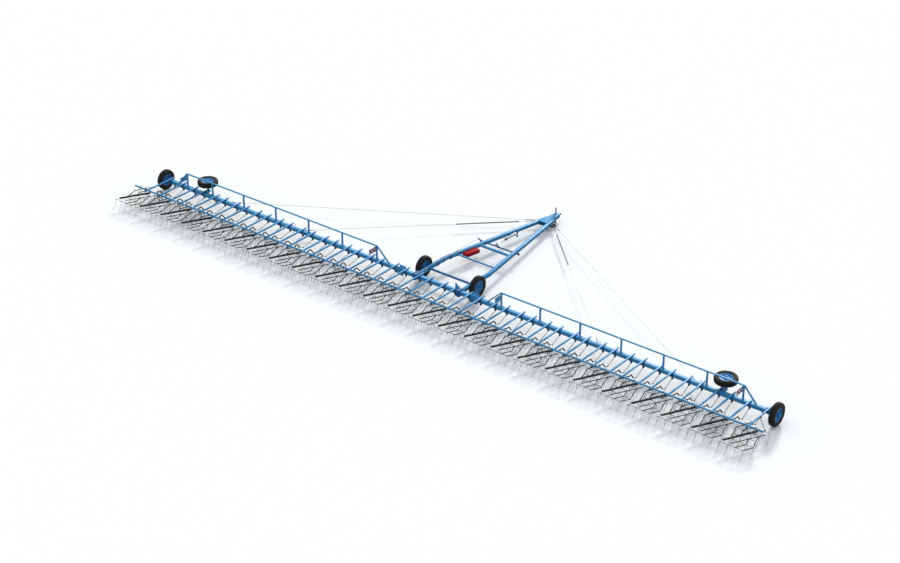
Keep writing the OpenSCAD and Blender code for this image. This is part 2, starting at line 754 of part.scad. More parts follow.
// Centre tube with its journals, hinge ears and pins, the roll lever and an upright gusset beside the arm
module centre_beam() {
    end = hinge_x - hinge_gap / 2;
    half = beam_size / 2;
    gusset_h = 325;
    pin_length = 2 * lever_t + 2 * seat_gap;
    color(paint) difference() {
        union() {
            translate([-end, -half, beam_bottom]) cube([2 * end, beam_size, beam_size]);
            for (side = [-1, 1]) shaft_x(side * bearing_x, 0, beam_z, bearing_w, 2 * journal_r);
            lever(-roll_lever_x, 0, beam_z, roll_lever, 2 * journal_r);
            translate([roll_lever_x - 2 * lever_t, 0, beam_z]) rotate([90, 0, 90])
                linear_extrude(lever_t) polygon([[-half, 0], [-half, gusset_h], [-half / 2, gusset_h],
                    [half + gusset_h / 3, 0]]);
            lever_pin(-roll_lever_x + lever_t / 2 + pin_length / 2, 0, beam_z, roll_lever,
                pin_length + lever_t);
        }
        translate([-end - cut, beam_wall - half, beam_bottom + beam_wall])
            cube([2 * (end + cut), beam_size - 2 * beam_wall, beam_size - 2 * beam_wall]);
    }
    color(dark_paint) for (side = [0, 1]) mirror([side, 0, 0]) {
        for (face = [-1, 1]) hinge_ear(face);
        shaft_y(hinge_x, 0, hinge_z, beam_size + 2 * ear_t + 2, hinge_pin_d);
    }
}

// Lift arms over the beam and the pipe that lies on their rear ends
module lift_frame(arms, pipe_from, pipe_to) {
    color(paint) {
        for (x = arms) translate([x, arm_front, beam_top + arm_size / 2]) mirror([0, 1, 0])
            box_tube(arm_size, arm_size, arm_front - pipe_y + pipe_d, arm_wall);
        translate([pipe_from, pipe_y, pipe_z]) rotate([0, 90, 0]) difference() {
            cylinder(h = pipe_to - pipe_from, d = pipe_d);
            translate([0, 0, -cut]) cylinder(h = pipe_to - pipe_from + 2 * cut, d = pipe_d - 2 * pipe_wall);
        }
    }
}

module centre_lift_frame() {
    end = hinge_x - hinge_gap / 2;
    lift_frame(centre_arm_x(), -end, end);
}

module wing_lift_frame() {
    lift_frame(wing_arm_x(), hinge_x + hinge_gap / 2, pipe_end);
}

// Block on a beam or arm that the upper end of a chain is held in
module chain_bracket(x, y, low, high) {
    translate([x - bracket_w / 2, y - bracket_l / 2, low]) cube([bracket_w, bracket_l, high - low]);
}

// Pin in the section's lug, with its long end on one side
module pull_pin(lug_x, side) {
    translate([lug_x - (side > 0 ? pull_pin_d : pin_out), pull_y, pull_z]) rotate([0, 90, 0])
        cylinder(h = pull_pin_d + pin_out, d = pull_pin_d);
}

// Taut chain from its bracket down to the eye of a bent link, which pulls the section's lug at x
module pull_chain(x) {
    link_t = 14;
    side_x = x + pin_out - link_t / 2;
    low = beam_bottom - bracket_drop;
    hump = [pull_y + link_reach / 3, pull_z];
    knee = [pull_y + 0.62 * link_reach, (pull_z + link_eye_z) / 2 - link_w];
    eye = [side_x, pull_y + link_reach, link_eye_z];
    color(black_steel) {
        chain_bracket(x, 0, low, beam_bottom);
        rod([x, -bracket_l / 4, low + chain_d], eye, chain_d);
        shaft_x(side_x, eye[1], eye[2], 2 * chain_d, 2 * chain_d);
        rod(eye, [side_x, knee[0], knee[1]], chain_d);
        translate([side_x - link_t / 2, 0, 0]) rotate([90, 0, 90]) linear_extrude(link_t) {
            flat_bar([pull_y, pull_z], hump, link_w);
            flat_bar(hump, knee, link_w);
        }
        pull_pin(x, 1);
    }
}

// The last section's outer chain runs straight and aslant from the end arm, behind the end wheel
module end_pull_chain() {
    low = beam_top - bracket_drop / 2;
    color(black_steel) {
        chain_bracket(end_arm_x, last_chain_y, low, beam_top);
        rod([end_arm_x, last_chain_y - bracket_l / 4, low + chain_d],
            [last_lug_x - pin_out + chain_d / 2, pull_y, pull_z], chain_d);
        pull_pin(last_lug_x, -1);
    }
}

module centre_pull_chains() {
    for (x = centre_arm_x()) pull_chain(x);
}

module pull_chains() {
    for (x = wing_chain_x()) pull_chain(x);
    end_pull_chain();
}

// Wing tube with the hinge knuckle, the end wheel's axle and the carried wheel's bracket
module wing_beam() {
    start = hinge_x + hinge_gap / 2;
    end_plate = 12;
    carrier_w = 110;
    carrier_h = 90;
    color(paint) beam_tube(start, beam_end, 0, beam_z, beam_size, beam_wall);
    color(dark_paint) {
        difference() {
            union() {
                shaft_y(hinge_x, 0, hinge_z, knuckle_w, 2 * knuckle_r);
                translate([start, -knuckle_w / 2, hinge_z - knuckle_r / 2])
                    cube([2 * hinge_pin_d, knuckle_w, beam_bottom - hinge_z + knuckle_r / 2]);
                translate([hinge_x, -knuckle_w / 2, hinge_z - knuckle_r / 2])
                    cube([hinge_gap, knuckle_w, knuckle_r]);
            }
            shaft_y(hinge_x, 0, hinge_z, 2 * knuckle_w, hinge_pin_d + 2 * run_clear);
        }
        translate([beam_end, -beam_size / 2, beam_bottom]) cube([end_plate, beam_size, beam_size]);
        stub_axle(beam_end, end_wheel_x, 0, beam_z);
        translate([transport_x - carrier_w / 2, beam_size / 2, beam_top - carrier_h - swing_gap])
            cube([carrier_w, transport_wheel_y - beam_size / 2 + carrier_w / 2, carrier_h]);
        translate([transport_x, transport_wheel_y, beam_top - carrier_h]) rotate([0, -90, 0])
            stub_axle(0, transport_wheel_rise - beam_size / 2 + carrier_h, 0, 0);
    }
}

// Posts, rail and end braces that stiffen a wing
module truss() {
    high = beam_z + rail_rise;
    color(paint) {
        translate([first_post - post_size / 2, -rail_size / 2, high - rail_size / 2])
            cube([last_post - first_post + post_size, rail_size, rail_size]);
        for (x = post_x) translate([x - post_size / 2, -post_size / 2, beam_top])
            cube([post_size, post_size, high - rail_size / 2 - beam_top]);
        translate([last_post + post_size / 2, 0, beam_top]) brace(440);
        translate([first_post - post_size / 2, 0, beam_top]) mirror([1, 0, 0]) brace(520);
    }
}

// Sloping flat-ended bar from the end of the rail down to the beam, along +X
module brace(run) {
    rise = rail_rise + rail_size / 2 - beam_size / 2;
    steep = rise / run;
    thick = rail_size * sqrt(1 + steep * steep);
    rotate([90, 0, 0]) translate([0, 0, -rail_size / 2]) linear_extrude(rail_size)
        polygon([[0, rise], [0, rise - thick], [(rise - thick) / steep, 0], [run, 0]]);
}

// Plates on the inner faces of the end posts
module marker_plates() {
    high = beam_z + rail_rise - rail_size / 2;
    color(paint) for (x = [first_post + post_size / 2, last_post - post_size / 2 - plate_t])
        translate([x, post_size / 2 - plate_length, high - plate_h])
            cube([plate_t, plate_length, plate_h]);
}

// Flat bar between two points of the section, drawn in plan
module flat_bar(from, to, w) {
    way = to - from;
    translate(from) rotate(atan2(way[1], way[0])) translate([-w / 2, -w / 2])
        square([norm(way) + w, w]);
}

module bar_path(path, w) {
    for (i = [0:len(path) - 2]) flat_bar(on_section(path[i]), on_section(path[i + 1]), w);
}

// Spring tine: straight down from the bar, then bent back to its tip on the ground
module tine(x, y) {
    translate([x, y, bar_height - tine_straight]) {
        cylinder(h = tine_straight + bar_h + strap_t / 2, d = tine_d);
        translate([0, -tine_bend_r, 0]) rotate([0, -90, 0]) rotate([0, 0, 90])
            rotate_extrude(angle = tine_bend) translate([tine_bend_r, 0]) circle(d = tine_d);
    }
}

// Lug in front of the front row, bored for the pull pin
module pull_lug(x) {
    thick = 12;
    difference() {
        translate([x - thick / 2, front_row_y, pull_z - lug_h / 2])
            cube([thick, lug_reach + lug_h / 2, lug_h]);
        shaft_x(x, pull_y, pull_z, 2 * thick, pull_pin_d + 2 * run_clear);
    }
}

// Wire loop round the lift pipe that picks the section up when the beam rolls
module hanger(x) {
    bend_r = pipe_d / 2 + hanger_play + hanger_d / 2;
    arch_z = pipe_z + pipe_d / 2 + hanger_lift + hanger_d / 2 - bend_r;
    shoe = 2 * (bend_r + hanger_d);
    translate([x - hanger_d, pipe_y - shoe / 2, strap_top]) cube([2 * hanger_d, shoe, strap_t]);
    for (side = [-1, 1]) translate([x, pipe_y + side * bend_r, strap_top])
        cylinder(h = arch_z - strap_top, d = hanger_d);
    translate([x, pipe_y, arch_z]) rotate([90, 0, 90]) rotate_extrude(angle = 180)
        translate([bend_r, 0]) circle(d = hanger_d);
}

// Two long slanted bars, two short bent bars at each end, five straps, twenty tines and the fittings
module harrow_section() {
    inner_short = [[inner_short_x, 0], [inner_short_x + lean, 1], [long_x(1, 2), 2]];
    outer_short = [[outer_short_x, 0], [outer_short_x + lean, 1], [outer_knee_x, 2], [long_x(1, 3), 3]];
    long_rows = [for (bar = [0, 1]) [for (row = [0:last_row]) [long_x(bar, row), row]]];
    bar_ends = [bar_inset / row_pitch, last_row - bar_inset / row_pitch];
    long_bars = [for (bar = [0, 1]) [for (row = bar_ends) [long_x(bar, row), row]]];
    rear_tines = [inner_short[0], inner_short[1], outer_short[0], outer_short[1], outer_short[2]];
    tines = concat(long_rows[0], long_rows[1], rear_tines, turned(rear_tines));
    color(black_steel) union() {
        translate([0, 0, bar_height]) linear_extrude(bar_h) {
            bar_path(long_bars[1], bar_w);
            for (path = [inner_short, outer_short, turned(inner_short), turned(outer_short)])
                bar_path(path, bar_w);
        }
        translate([0, 0, bar_height]) linear_extrude(main_bar_h)
            bar_path(long_bars[0], main_bar_w);
        translate([0, 0, strap_z]) linear_extrude(strap_t) for (row = [0:last_row]) {
            in_row = [for (p = tines) if (p[1] == row) p[0]];
            flat_bar([min(in_row), row_y(row)], [max(in_row), row_y(row)], strap_w);
        }
        for (p = tines) tine(p[0], row_y(p[1]));
        for (side = [-1, 1]) {
            pull_lug(side * arm_offset);
            hanger(side * hanger_x);
        }
    }
}

from_beam() drawbar_member(-1);  // drawbar_left_member
from_beam() drawbar_member(1);  // drawbar_right_member
from_beam() drawbar_cross_tubes();
from_beam() drawbar_head();
from_beam() hitch_eye();
from_beam() beam_bearings();
from_beam() centre_axle();
from_beam() tool_box();
from_beam() tool_box_lid();
from_beam() roll_cylinder_barrel();
from_beam() roll_cylinder_rod();
from_beam() rock_shaft();
from_beam() link_rod();
from_beam() jack_leg();
from_beam() centre_beam();
from_beam() centre_lift_frame();
from_beam() centre_pull_chains();
for (side = side_names) {
    on_side(side) stays();
    on_side(side) centre_wheel();
    on_side(side) end_wheel();
    on_side(side) transport_wheel();
    on_side(side) wing_beam();
    on_side(side) truss();
    on_side(side) wing_lift_frame();
    on_side(side) pull_chains();
    on_side(side) marker_plates();
}
for (i = [1:sections])
    from_beam() translate([section_x(i), 0, 0]) harrow_section();
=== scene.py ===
# %% [markdown]
# # A trailed wing harrow, dressed for its portrait
# The machine is a drawbar, a beam of three lengths on wheels, and twenty five harrow sections
# that hang behind the beam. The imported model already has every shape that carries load.
# This lesson puts paint, rubber, rope, chain and fasteners round it. Everything is in metres.

# %% Load the frame
import json
import math

import bmesh
import bpy
from mathutils import Euler, Matrix, Vector

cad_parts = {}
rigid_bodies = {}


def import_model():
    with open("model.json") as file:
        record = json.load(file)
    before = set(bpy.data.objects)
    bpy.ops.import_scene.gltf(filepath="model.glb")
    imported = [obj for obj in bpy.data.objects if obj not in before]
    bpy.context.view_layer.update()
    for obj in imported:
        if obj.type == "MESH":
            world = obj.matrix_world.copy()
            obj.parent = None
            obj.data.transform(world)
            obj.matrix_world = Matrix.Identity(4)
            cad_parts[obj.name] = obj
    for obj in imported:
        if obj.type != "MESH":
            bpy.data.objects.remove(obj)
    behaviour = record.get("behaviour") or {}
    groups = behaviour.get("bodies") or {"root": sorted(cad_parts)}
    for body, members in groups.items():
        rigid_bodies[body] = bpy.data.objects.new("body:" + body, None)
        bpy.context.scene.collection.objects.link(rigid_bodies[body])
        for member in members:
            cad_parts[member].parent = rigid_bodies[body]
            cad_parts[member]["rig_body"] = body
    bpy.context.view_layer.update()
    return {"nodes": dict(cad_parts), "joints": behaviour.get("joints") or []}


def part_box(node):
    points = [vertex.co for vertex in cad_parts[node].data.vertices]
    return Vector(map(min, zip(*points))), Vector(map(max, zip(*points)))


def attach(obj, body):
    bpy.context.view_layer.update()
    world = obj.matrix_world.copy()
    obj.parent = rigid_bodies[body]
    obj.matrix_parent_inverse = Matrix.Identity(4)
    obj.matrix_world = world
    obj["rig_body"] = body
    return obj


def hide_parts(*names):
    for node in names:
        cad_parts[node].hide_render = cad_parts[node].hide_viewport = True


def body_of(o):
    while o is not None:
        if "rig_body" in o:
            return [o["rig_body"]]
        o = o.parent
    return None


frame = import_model()
scene = bpy.context.scene
joints = {joint["name"]: joint for joint in frame["joints"]}

# %% [markdown]
# ## One helper for node trees
# Materials and Geometry Nodes are both trees of nodes with sockets. A single helper that adds a
# node, sets its options and fills its sockets keeps every later cell short. A socket is filled by
# a plain value, or by another node's output, which makes a link.

# %% Node helper
def put(tree, kind, inputs=None, **options):
    node = tree.nodes.new(kind)
    for key, value in options.items():
        setattr(node, key, value)
    for key, value in (inputs or {}).items():
        if isinstance(value, bpy.types.NodeSocket):
            tree.links.new(value, node.inputs[key])
        else:
            node.inputs[key].default_value = value
    return node


def maths(tree, operation, first, second=0.0):
    return put(tree, "ShaderNodeMath", {0: first, 1: second}, operation=operation).outputs[0]


print("node helpers ready")

# %% [markdown]
# ## Camera
# The photograph looks down on the machine from behind its right end. The place, turn and focal
# length were worked out from the ends of the beam, the hitch and the wheels. The lens is a long
# one, so the far wing is hardly smaller than the near one.

# %% Camera
photo_width_px = 900
focal_px = 1913.1
camera_place = Vector((33.021, -43.206, 29.376))
camera_turn = Euler((math.radians(61.202), 0, math.radians(38.441)))

camera_data = bpy.data.cameras.new("photo_camera")
camera_data.lens = camera_data.sensor_width * focal_px / photo_width_px
camera_data.clip_end = 500
camera = bpy.data.objects.new("photo_camera", camera_data)
camera.location, camera.rotation_euler = camera_place, camera_turn
scene.collection.objects.link(camera)
scene.camera = camera
print("lens", round(camera_data.lens, 2), "mm")

# %% [markdown]
# ## Floor and light
# A product picture has a white ground with one soft shadow. The sun stands in front of the machine
# on its left side, so the shadow falls back and to the right. The sky is brightest overhead. The floor
# shows white to the camera and in reflections, yet throws little light back up. Both keep the sides
# and undersides deep in colour.

# %% Floor and light
sun_height = math.radians(25)
sun_from = Vector((-0.36, 0.93, 0)).normalized() * math.cos(sun_height)
sun_from.z = math.sin(sun_height)
floor_white = (0.985, 0.985, 0.98, 1)
floor_bounce = (0.12, 0.13, 0.14, 1)
sky_tint = (0.90, 0.955, 1.0, 1)
sky_low, sky_rise = 0.28, 0.69
sun_level = 2.5
sun_width = math.radians(9)


def seen_directly(tree):
    """1 for camera rays, reflections and light through glass."""
    path = put(tree, "ShaderNodeLightPath")
    shown = maths(tree, "MAXIMUM", path.outputs["Is Camera Ray"], path.outputs["Is Glossy Ray"])
    return maths(tree, "MAXIMUM", shown, path.outputs["Is Transmission Ray"])


def mixed(tree, share, first, second):
    """Colour that goes from first to second as share goes from 0 to 1."""
    return put(tree, "ShaderNodeMix", {0: share, 6: first, 7: second}, data_type="RGBA").outputs[2]


world = bpy.data.worlds.new("white_studio")
world.use_nodes = True
scene.world = world
tree = world.node_tree
way = put(tree, "ShaderNodeSeparateXYZ", {"Vector": put(tree, "ShaderNodeTexCoord").outputs["Generated"]})
height = maths(tree, "MULTIPLY", maths(tree, "MAXIMUM", way.outputs["Z"], 0.0), sky_rise)
light = put(tree, "ShaderNodeBackground",
            {"Color": sky_tint, "Strength": maths(tree, "ADD", height, sky_low)})
white = put(tree, "ShaderNodeBackground", {"Color": (1, 1, 1, 1), "Strength": 1.0})
choice = put(tree, "ShaderNodeMixShader",
             {0: seen_directly(tree), 1: light.outputs[0], 2: white.outputs[0]})
tree.links.new(choice.outputs[0], tree.nodes["World Output"].inputs["Surface"])

sun_data = bpy.data.lights.new("soft_sun", "SUN")
sun_data.energy, sun_data.angle, sun_data.color = sun_level, sun_width, (1.0, 0.985, 0.955)
sun = bpy.data.objects.new("soft_sun", sun_data)
sun.rotation_euler = sun_from.to_track_quat("Z", "Y").to_euler()
scene.collection.objects.link(sun)

floor_half, floor_drop = 300, 0.002
floor_mesh = bpy.data.meshes.new("floor")
floor_mesh.from_pydata([(x * floor_half, y * floor_half, -floor_drop)
                        for x, y in ((-1, -1), (1, -1), (1, 1), (-1, 1))], [], [(0, 1, 2, 3)])
floor = bpy.data.objects.new("floor", floor_mesh)
scene.collection.objects.link(floor)
floor_finish = bpy.data.materials.new("white_floor")
floor_finish.use_nodes = True
tree = floor_finish.node_tree
shader = tree.nodes["Principled BSDF"]
tree.links.new(mixed(tree, seen_directly(tree), floor_bounce, floor_white), shader.inputs["Base Color"])
shader.inputs["Roughness"].default_value = 0.9
shader.inputs["Specular IOR Level"].default_value = 0.0
floor_mesh.materials.append(floor_finish)
scene.view_settings.view_transform = "Standard"
print("sun", round(math.degrees(sun_height)), "degrees high")

# %% [markdown]
# ## Finishes
# Each finish starts from a Principled shader and a few noise textures on Object coordinates, so the
# grain has a real size in metres and stays on the piece when it moves. Wide noise shifts the colour,
# fine noise roughens it, and a threshold on a third noise leaves small chips or dirt.

# %% Finish helpers
def new_finish(name, **sockets):
    finish = bpy.data.materials.new(name)
    finish.use_nodes = True
    shader = finish.node_tree.nodes["Principled BSDF"]
    for key, value in sockets.items():
        shader.inputs[key.replace("_", " ")].default_value = value
    return finish, finish.node_tree, shader


def grain(tree, scale, low, high, detail=4.0):
    """Noise of so many patches a metre, spread from low to high."""
    place = put(tree, "ShaderNodeTexCoord").outputs["Object"]
    noise = put(tree, "ShaderNodeTexNoise", {"Vector": place, "Scale": scale, "Detail": detail})
    return put(tree, "ShaderNodeMapRange", {"Value": noise.outputs[0], "From Min": 0.3, "From Max": 0.7,
                                            "To Min": low, "To Max": high}).outputs[0]


def roughened(tree, shader, scale, depth):
    bump = put(tree, "ShaderNodeBump", {"Height": grain(tree, scale, 0, 1), "Distance": depth,
                                        "Strength": 0.6})
    tree.links.new(bump.outputs[0], shader.inputs["Normal"])


def painted(name, colour, deep, chip, gloss=(0.42, 0.58), shine=0.3):
    """Sprayed paint: two close shades, dull and bright patches, orange peel and a few chips."""
    finish, tree, shader = new_finish(name, Specular_IOR_Level=shine)
    body_colour = mixed(tree, grain(tree, 1.3, 0, 1), colour, deep)
    chips = maths(tree, "GREATER_THAN", grain(tree, 34, 0, 1, 6.0), 0.97)
    tree.links.new(mixed(tree, chips, body_colour, chip), shader.inputs["Base Color"])
    tree.links.new(grain(tree, 7, *gloss), shader.inputs["Roughness"])
    roughened(tree, shader, 260, 0.0003)
    return finish


def raw_metal(name, colour, stain, rough, metallic=0.85, scale=40):
    finish, tree, shader = new_finish(name, Metallic=metallic)
    tree.links.new(mixed(tree, grain(tree, scale, 0, 1), colour, stain), shader.inputs["Base Color"])
    tree.links.new(grain(tree, 3 * scale, rough - 0.1, rough + 0.1), shader.inputs["Roughness"])
    roughened(tree, shader, 6 * scale, 0.0003)
    return finish


print("finish helpers ready")

# %% [markdown]
# The frame is sky blue, and its castings and hinges a shade deeper. The section bars are black, the
# tines and ropes grey steel, the tool box red. The rubber is nearly black with pale dust in its grain.

# %% Finishes
sky_blue = painted("sky_blue_paint", (0.075, 0.37, 0.695, 1), (0.063, 0.325, 0.635, 1),
                   (0.10, 0.2, 0.3, 1))
deep_blue = painted("deep_blue_paint", (0.024, 0.15, 0.39, 1), (0.02, 0.13, 0.345, 1),
                    (0.06, 0.09, 0.13, 1))
rim_blue = painted("rim_blue_paint", (0.055, 0.285, 0.62, 1), (0.046, 0.25, 0.55, 1), (0.16, 0.2, 0.24, 1))
box_red = painted("box_red_paint", (0.47, 0.018, 0.022, 1), (0.40, 0.014, 0.018, 1),
                  (0.2, 0.12, 0.11, 1), (0.6, 0.8), shine=0.08)
bar_black = painted("bar_black_paint", (0.011, 0.0125, 0.013, 1), (0.018, 0.018, 0.017, 1),
                    (0.04, 0.035, 0.03, 1), (0.5, 0.75), shine=0.18)
tube_grey = painted("tube_grey_paint", (0.17, 0.175, 0.18, 1), (0.13, 0.135, 0.14, 1),
                    (0.3, 0.29, 0.28, 1))
tine_steel = raw_metal("tine_steel", (0.36, 0.37, 0.385, 1), (0.24, 0.235, 0.225, 1), 0.45, 0.7)
rope_steel = raw_metal("rope_steel", (0.52, 0.53, 0.54, 1), (0.38, 0.38, 0.37, 1), 0.45, 0.6)
chain_steel = raw_metal("chain_steel", (0.10, 0.10, 0.09, 1), (0.055, 0.05, 0.045, 1), 0.5, 0.5)
bolt_zinc = raw_metal("bolt_zinc", (0.45, 0.46, 0.47, 1), (0.33, 0.34, 0.35, 1), 0.38)
barrel_silver = raw_metal("barrel_silver", (0.50, 0.52, 0.54, 1), (0.40, 0.42, 0.44, 1), 0.4, 0.25, 12)
chrome = raw_metal("chromed_rod", (0.50, 0.51, 0.53, 1), (0.40, 0.41, 0.43, 1), 0.2, 1.0)
rubber, tree, shader = new_finish("tyre_rubber", Specular_IOR_Level=0.2)
tree.links.new(mixed(tree, grain(tree, 18, 0, 1), (0.011, 0.011, 0.0105, 1), (0.023, 0.022, 0.021, 1)),
               shader.inputs["Base Color"])
tree.links.new(grain(tree, 40, 0.62, 0.85), shader.inputs["Roughness"])
roughened(tree, shader, 220, 0.0006)
print("finishes:", len(bpy.data.materials))

# %% [markdown]
# ## Helpers for pieces
# A finished piece is a mesh at the origin that rides on one body of the frame. One function links
# it, gives it a finish, and hides the frame nodes that it stands for.

# %% Piece helpers
def add_piece(name, mesh, body, finish=None, stands_for=()):
    mesh.name = name
    if finish:
        mesh.materials.clear()
        mesh.materials.append(finish)
    piece = bpy.data.objects.new(name, mesh)
    scene.collection.objects.link(piece)
    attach(piece, body)
    if stands_for:
        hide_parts(*stands_for)
    return piece


def body_of_node(node):
    return body_of(frame["nodes"][node])[0]


def box_of(node):
    """Low and high corner of a node."""
    return [Vector(corner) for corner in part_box(node)]


def circle(count):
    """Cosine and sine of count even steps round a circle."""
    return [(math.cos(a), math.sin(a)) for a in (2 * math.pi * k / count for k in range(count))]


def skin_into(bm, rows):
    """Skin over rows of equally many vertices, closed at both ends."""
    count = len(rows[0])
    for a, b in zip(rows, rows[1:]):
        for k in range(count):
            j = (k + 1) % count
            bm.faces.new((a[k], a[j], b[j], b[k]))
    bm.faces.new(rows[0])
    bm.faces.new(rows[-1])


def mesh_from(bm, name, sharp=math.radians(35)):
    """Plain mesh with outward faces, smooth except at its sharp edges."""
    bmesh.ops.recalc_face_normals(bm, faces=bm.faces)
    mesh = bpy.data.meshes.new(name)
    bm.to_mesh(mesh)
    bm.free()
    mesh.shade_smooth()
    mesh.set_sharp_from_angle(angle=sharp)
    return mesh


def moved(mesh, matrix):
    copy = mesh.copy()
    copy.transform(matrix)
    return copy


def box_into(bm, low, high):
    corners = [bm.verts.new((x, y, z)) for x in (low[0], high[0]) for y in (low[1], high[1])
               for z in (low[2], high[2])]
    for face in ((0, 1, 3, 2), (4, 6, 7, 5), (0, 4, 5, 1), (2, 3, 7, 6), (0, 2, 6, 4), (1, 5, 7, 3)):
        bm.faces.new([corners[i] for i in face])


def bevelled(bm, width, segments=2, sharp=math.radians(40)):
    edges = [e for e in bm.edges if e.is_manifold and e.calc_face_angle(0) > sharp]
    bmesh.ops.bevel(bm, geom=edges, offset=width, segments=segments, profile=0.5, affect="EDGES",
                    clamp_overlap=True)


def lathe_into(bm, outline, segments):
    """Turns a closed outline of (radius, x) points round the X axis."""
    rings = [[bm.verts.new((x, r * c, r * s)) for r, x in outline] for c, s in circle(segments)]
    count = len(outline)
    for k, ring in enumerate(rings):
        after = rings[(k + 1) % segments]
        for i in range(count):
            j = (i + 1) % count
            bm.faces.new((ring[i], ring[j], after[j], after[i]))


print("piece helpers ready")

# %% [markdown]
# ## Painted steelwork
# Beams, arms, posts and plates have the right shape in the frame already, but their edges are
# perfectly sharp. Rolled tube and sawn plate always have a small radius that catches the light. A
# copy of each node is merged, its flat triangles are dissolved, and a Bevel modifier rounds its edges.

# %% Softened steelwork
def softened(node, width):
    """Copy of a node with rounded edges."""
    bm = bmesh.new()
    bm.from_mesh(frame["nodes"][node].data)
    bmesh.ops.remove_doubles(bm, verts=bm.verts, dist=1e-5)
    bmesh.ops.dissolve_limit(bm, angle_limit=math.radians(0.5), verts=bm.verts, edges=bm.edges)
    mesh = bpy.data.meshes.new(node)
    bm.to_mesh(mesh)
    bm.free()
    blank = bpy.data.objects.new(node + "_blank", mesh)
    scene.collection.objects.link(blank)
    bevel = blank.modifiers.new("edge", "BEVEL")
    bevel.width, bevel.segments, bevel.limit_method = width, 2, "ANGLE"
    bevel.angle_limit, bevel.use_clamp_overlap = math.radians(40), True
    graph = bpy.context.evaluated_depsgraph_get()
    made = bpy.data.meshes.new_from_object(blank.evaluated_get(graph))
    bpy.data.objects.remove(blank)
    made.shade_smooth()
    made.set_sharp_from_angle(angle=math.radians(32))
    return made


sides = {"left": -1, "right": 1}
steelwork = {"drawbar_left_member": (0.008, sky_blue, "blue_paint"),
             "drawbar_right_member": (0.008, sky_blue, "blue_paint"),
             "drawbar_cross_tubes": (0.002, sky_blue, "blue_paint"),
             "hitch_eye": (0.006, tine_steel, "bare_steel"),
             "beam_bearings": (0.006, deep_blue, "dark_blue_paint"),
             "centre_axle": (0.003, deep_blue, "dark_blue_paint"),
             "tool_box": (0.001, box_red, "red_paint"),
             "tool_box_lid": (0.001, box_red, "red_paint"),
             "roll_cylinder_rod": (0.002, chrome, "chrome_rod"),
             "rock_shaft": (0.003, deep_blue, "dark_blue_paint"),
             "jack_leg": (0.002, barrel_silver, "bare_steel"),
             "centre_beam": (0.006, sky_blue, "blue_paint"),
             "centre_lift_frame": (0.004, sky_blue, "blue_paint")}
for side in sides:
    steelwork.update({f"{side}_wing_beam": (0.006, sky_blue, "blue_paint"),
                      f"{side}_truss": (0.004, sky_blue, "blue_paint"),
                      f"{side}_lift_frame": (0.004, sky_blue, "blue_paint")})
for node, (radius, finish, slot) in steelwork.items():
    add_piece(node + "_steel", softened(node, radius), body_of_node(node), finish, [node])
print("softened", len(steelwork), "nodes")

# %% [markdown]
# Two nodes carry two finishes. The head's stay anchors are black on blue plates, and the roll cylinder
# is a silver barrel on a blue strut. Each node is one solid, so planes cut it where the paint changes,
# and every cut is closed again so that both shares stay whole bodies.

# %% Nodes of two finishes
def share_of(mesh, place, way):
    """The share of a mesh on the side of a plane that way points to, closed at the cut."""
    bm = bmesh.new()
    bm.from_mesh(mesh)
    everything = bm.verts[:] + bm.edges[:] + bm.faces[:]
    cut = bmesh.ops.bisect_plane(bm, geom=everything, plane_co=place, plane_no=way, clear_inner=True)
    rim = [part for part in cut["geom_cut"] if isinstance(part, bmesh.types.BMEdge)]
    bmesh.ops.triangle_fill(bm, edges=rim, use_beauty=True)
    return mesh_from(bm, "share")


head_low = box_of("drawbar_head")[0]
barrel_low, barrel_high = box_of("roll_cylinder_barrel")
head_half = 0.004 + max(abs(v.co.x) for v in frame["nodes"]["drawbar_head"].data.vertices
                        if v.co.y < head_low.y + 0.01)
barrel_length = 0.660
barrel_end = (0, barrel_low.y + barrel_length + 0.0005, 0)
on_right, on_left, to_right, to_left = (head_half, 0, 0), (-head_half, 0, 0), (1, 0, 0), (-1, 0, 0)
two_finishes = (
    ("drawbar_head", "plates", sky_blue, "blue_paint", [[(on_right, to_left), (on_left, to_right)]]),
    ("drawbar_head", "anchors", bar_black, "black_steel", [[(on_right, to_right)], [(on_left, to_left)]]),
    ("roll_cylinder_barrel", "tube", barrel_silver, "bare_steel", [[(barrel_end, (0, -1, 0))]]),
    ("roll_cylinder_barrel", "strut", sky_blue, "blue_paint", [[(barrel_end, (0, 1, 0))]]))
for node, label, finish, slot, shares in two_finishes:
    bm = bmesh.new()
    for planes in shares:
        mesh = softened(node, 0.003)
        for place, way in planes:
            mesh = share_of(mesh, place, way)
        bm.from_mesh(mesh)
    piece = add_piece(f"{node}_{label}", mesh_from(bm, label), body_of_node(node), finish, [node])
    print(piece.name, len(piece.data.polygons), "faces")

# %% [markdown]
# ## Small parts placed by Geometry Nodes
# Bolts, tread lugs and brackets repeat dozens of times. A tree takes marks, which are points that
# each carry a turn, and puts a copy of one part on every mark. Realize Instances makes the copies
# real, and the result becomes a plain mesh, one for each body that it rides on.

# %% Tree that sets parts on marks
def new_tree(name, sizes):
    """Geometry Nodes tree with a geometry in and out and the named inputs given."""
    tree = bpy.data.node_groups.new(name, "GeometryNodeTree")
    tree.interface.new_socket("Geometry", in_out="INPUT", socket_type="NodeSocketGeometry")
    for label, kind in sizes.items():
        tree.interface.new_socket(label, in_out="INPUT", socket_type="NodeSocket" + kind)
    tree.interface.new_socket("Geometry", in_out="OUTPUT", socket_type="NodeSocketGeometry")
    start = tree.nodes.new("NodeGroupInput")
    return tree, start.outputs


def close_tree(tree, geometry, finish):
    """Ends a tree: real meshes and one finish."""
    real = put(tree, "GeometryNodeRealizeInstances", {"Geometry": geometry})
    dressed = put(tree, "GeometryNodeSetMaterial", {"Geometry": real.outputs[0], "Material": finish})
    end = tree.nodes.new("NodeGroupOutput")
    tree.links.new(dressed.outputs[0], end.inputs[0])


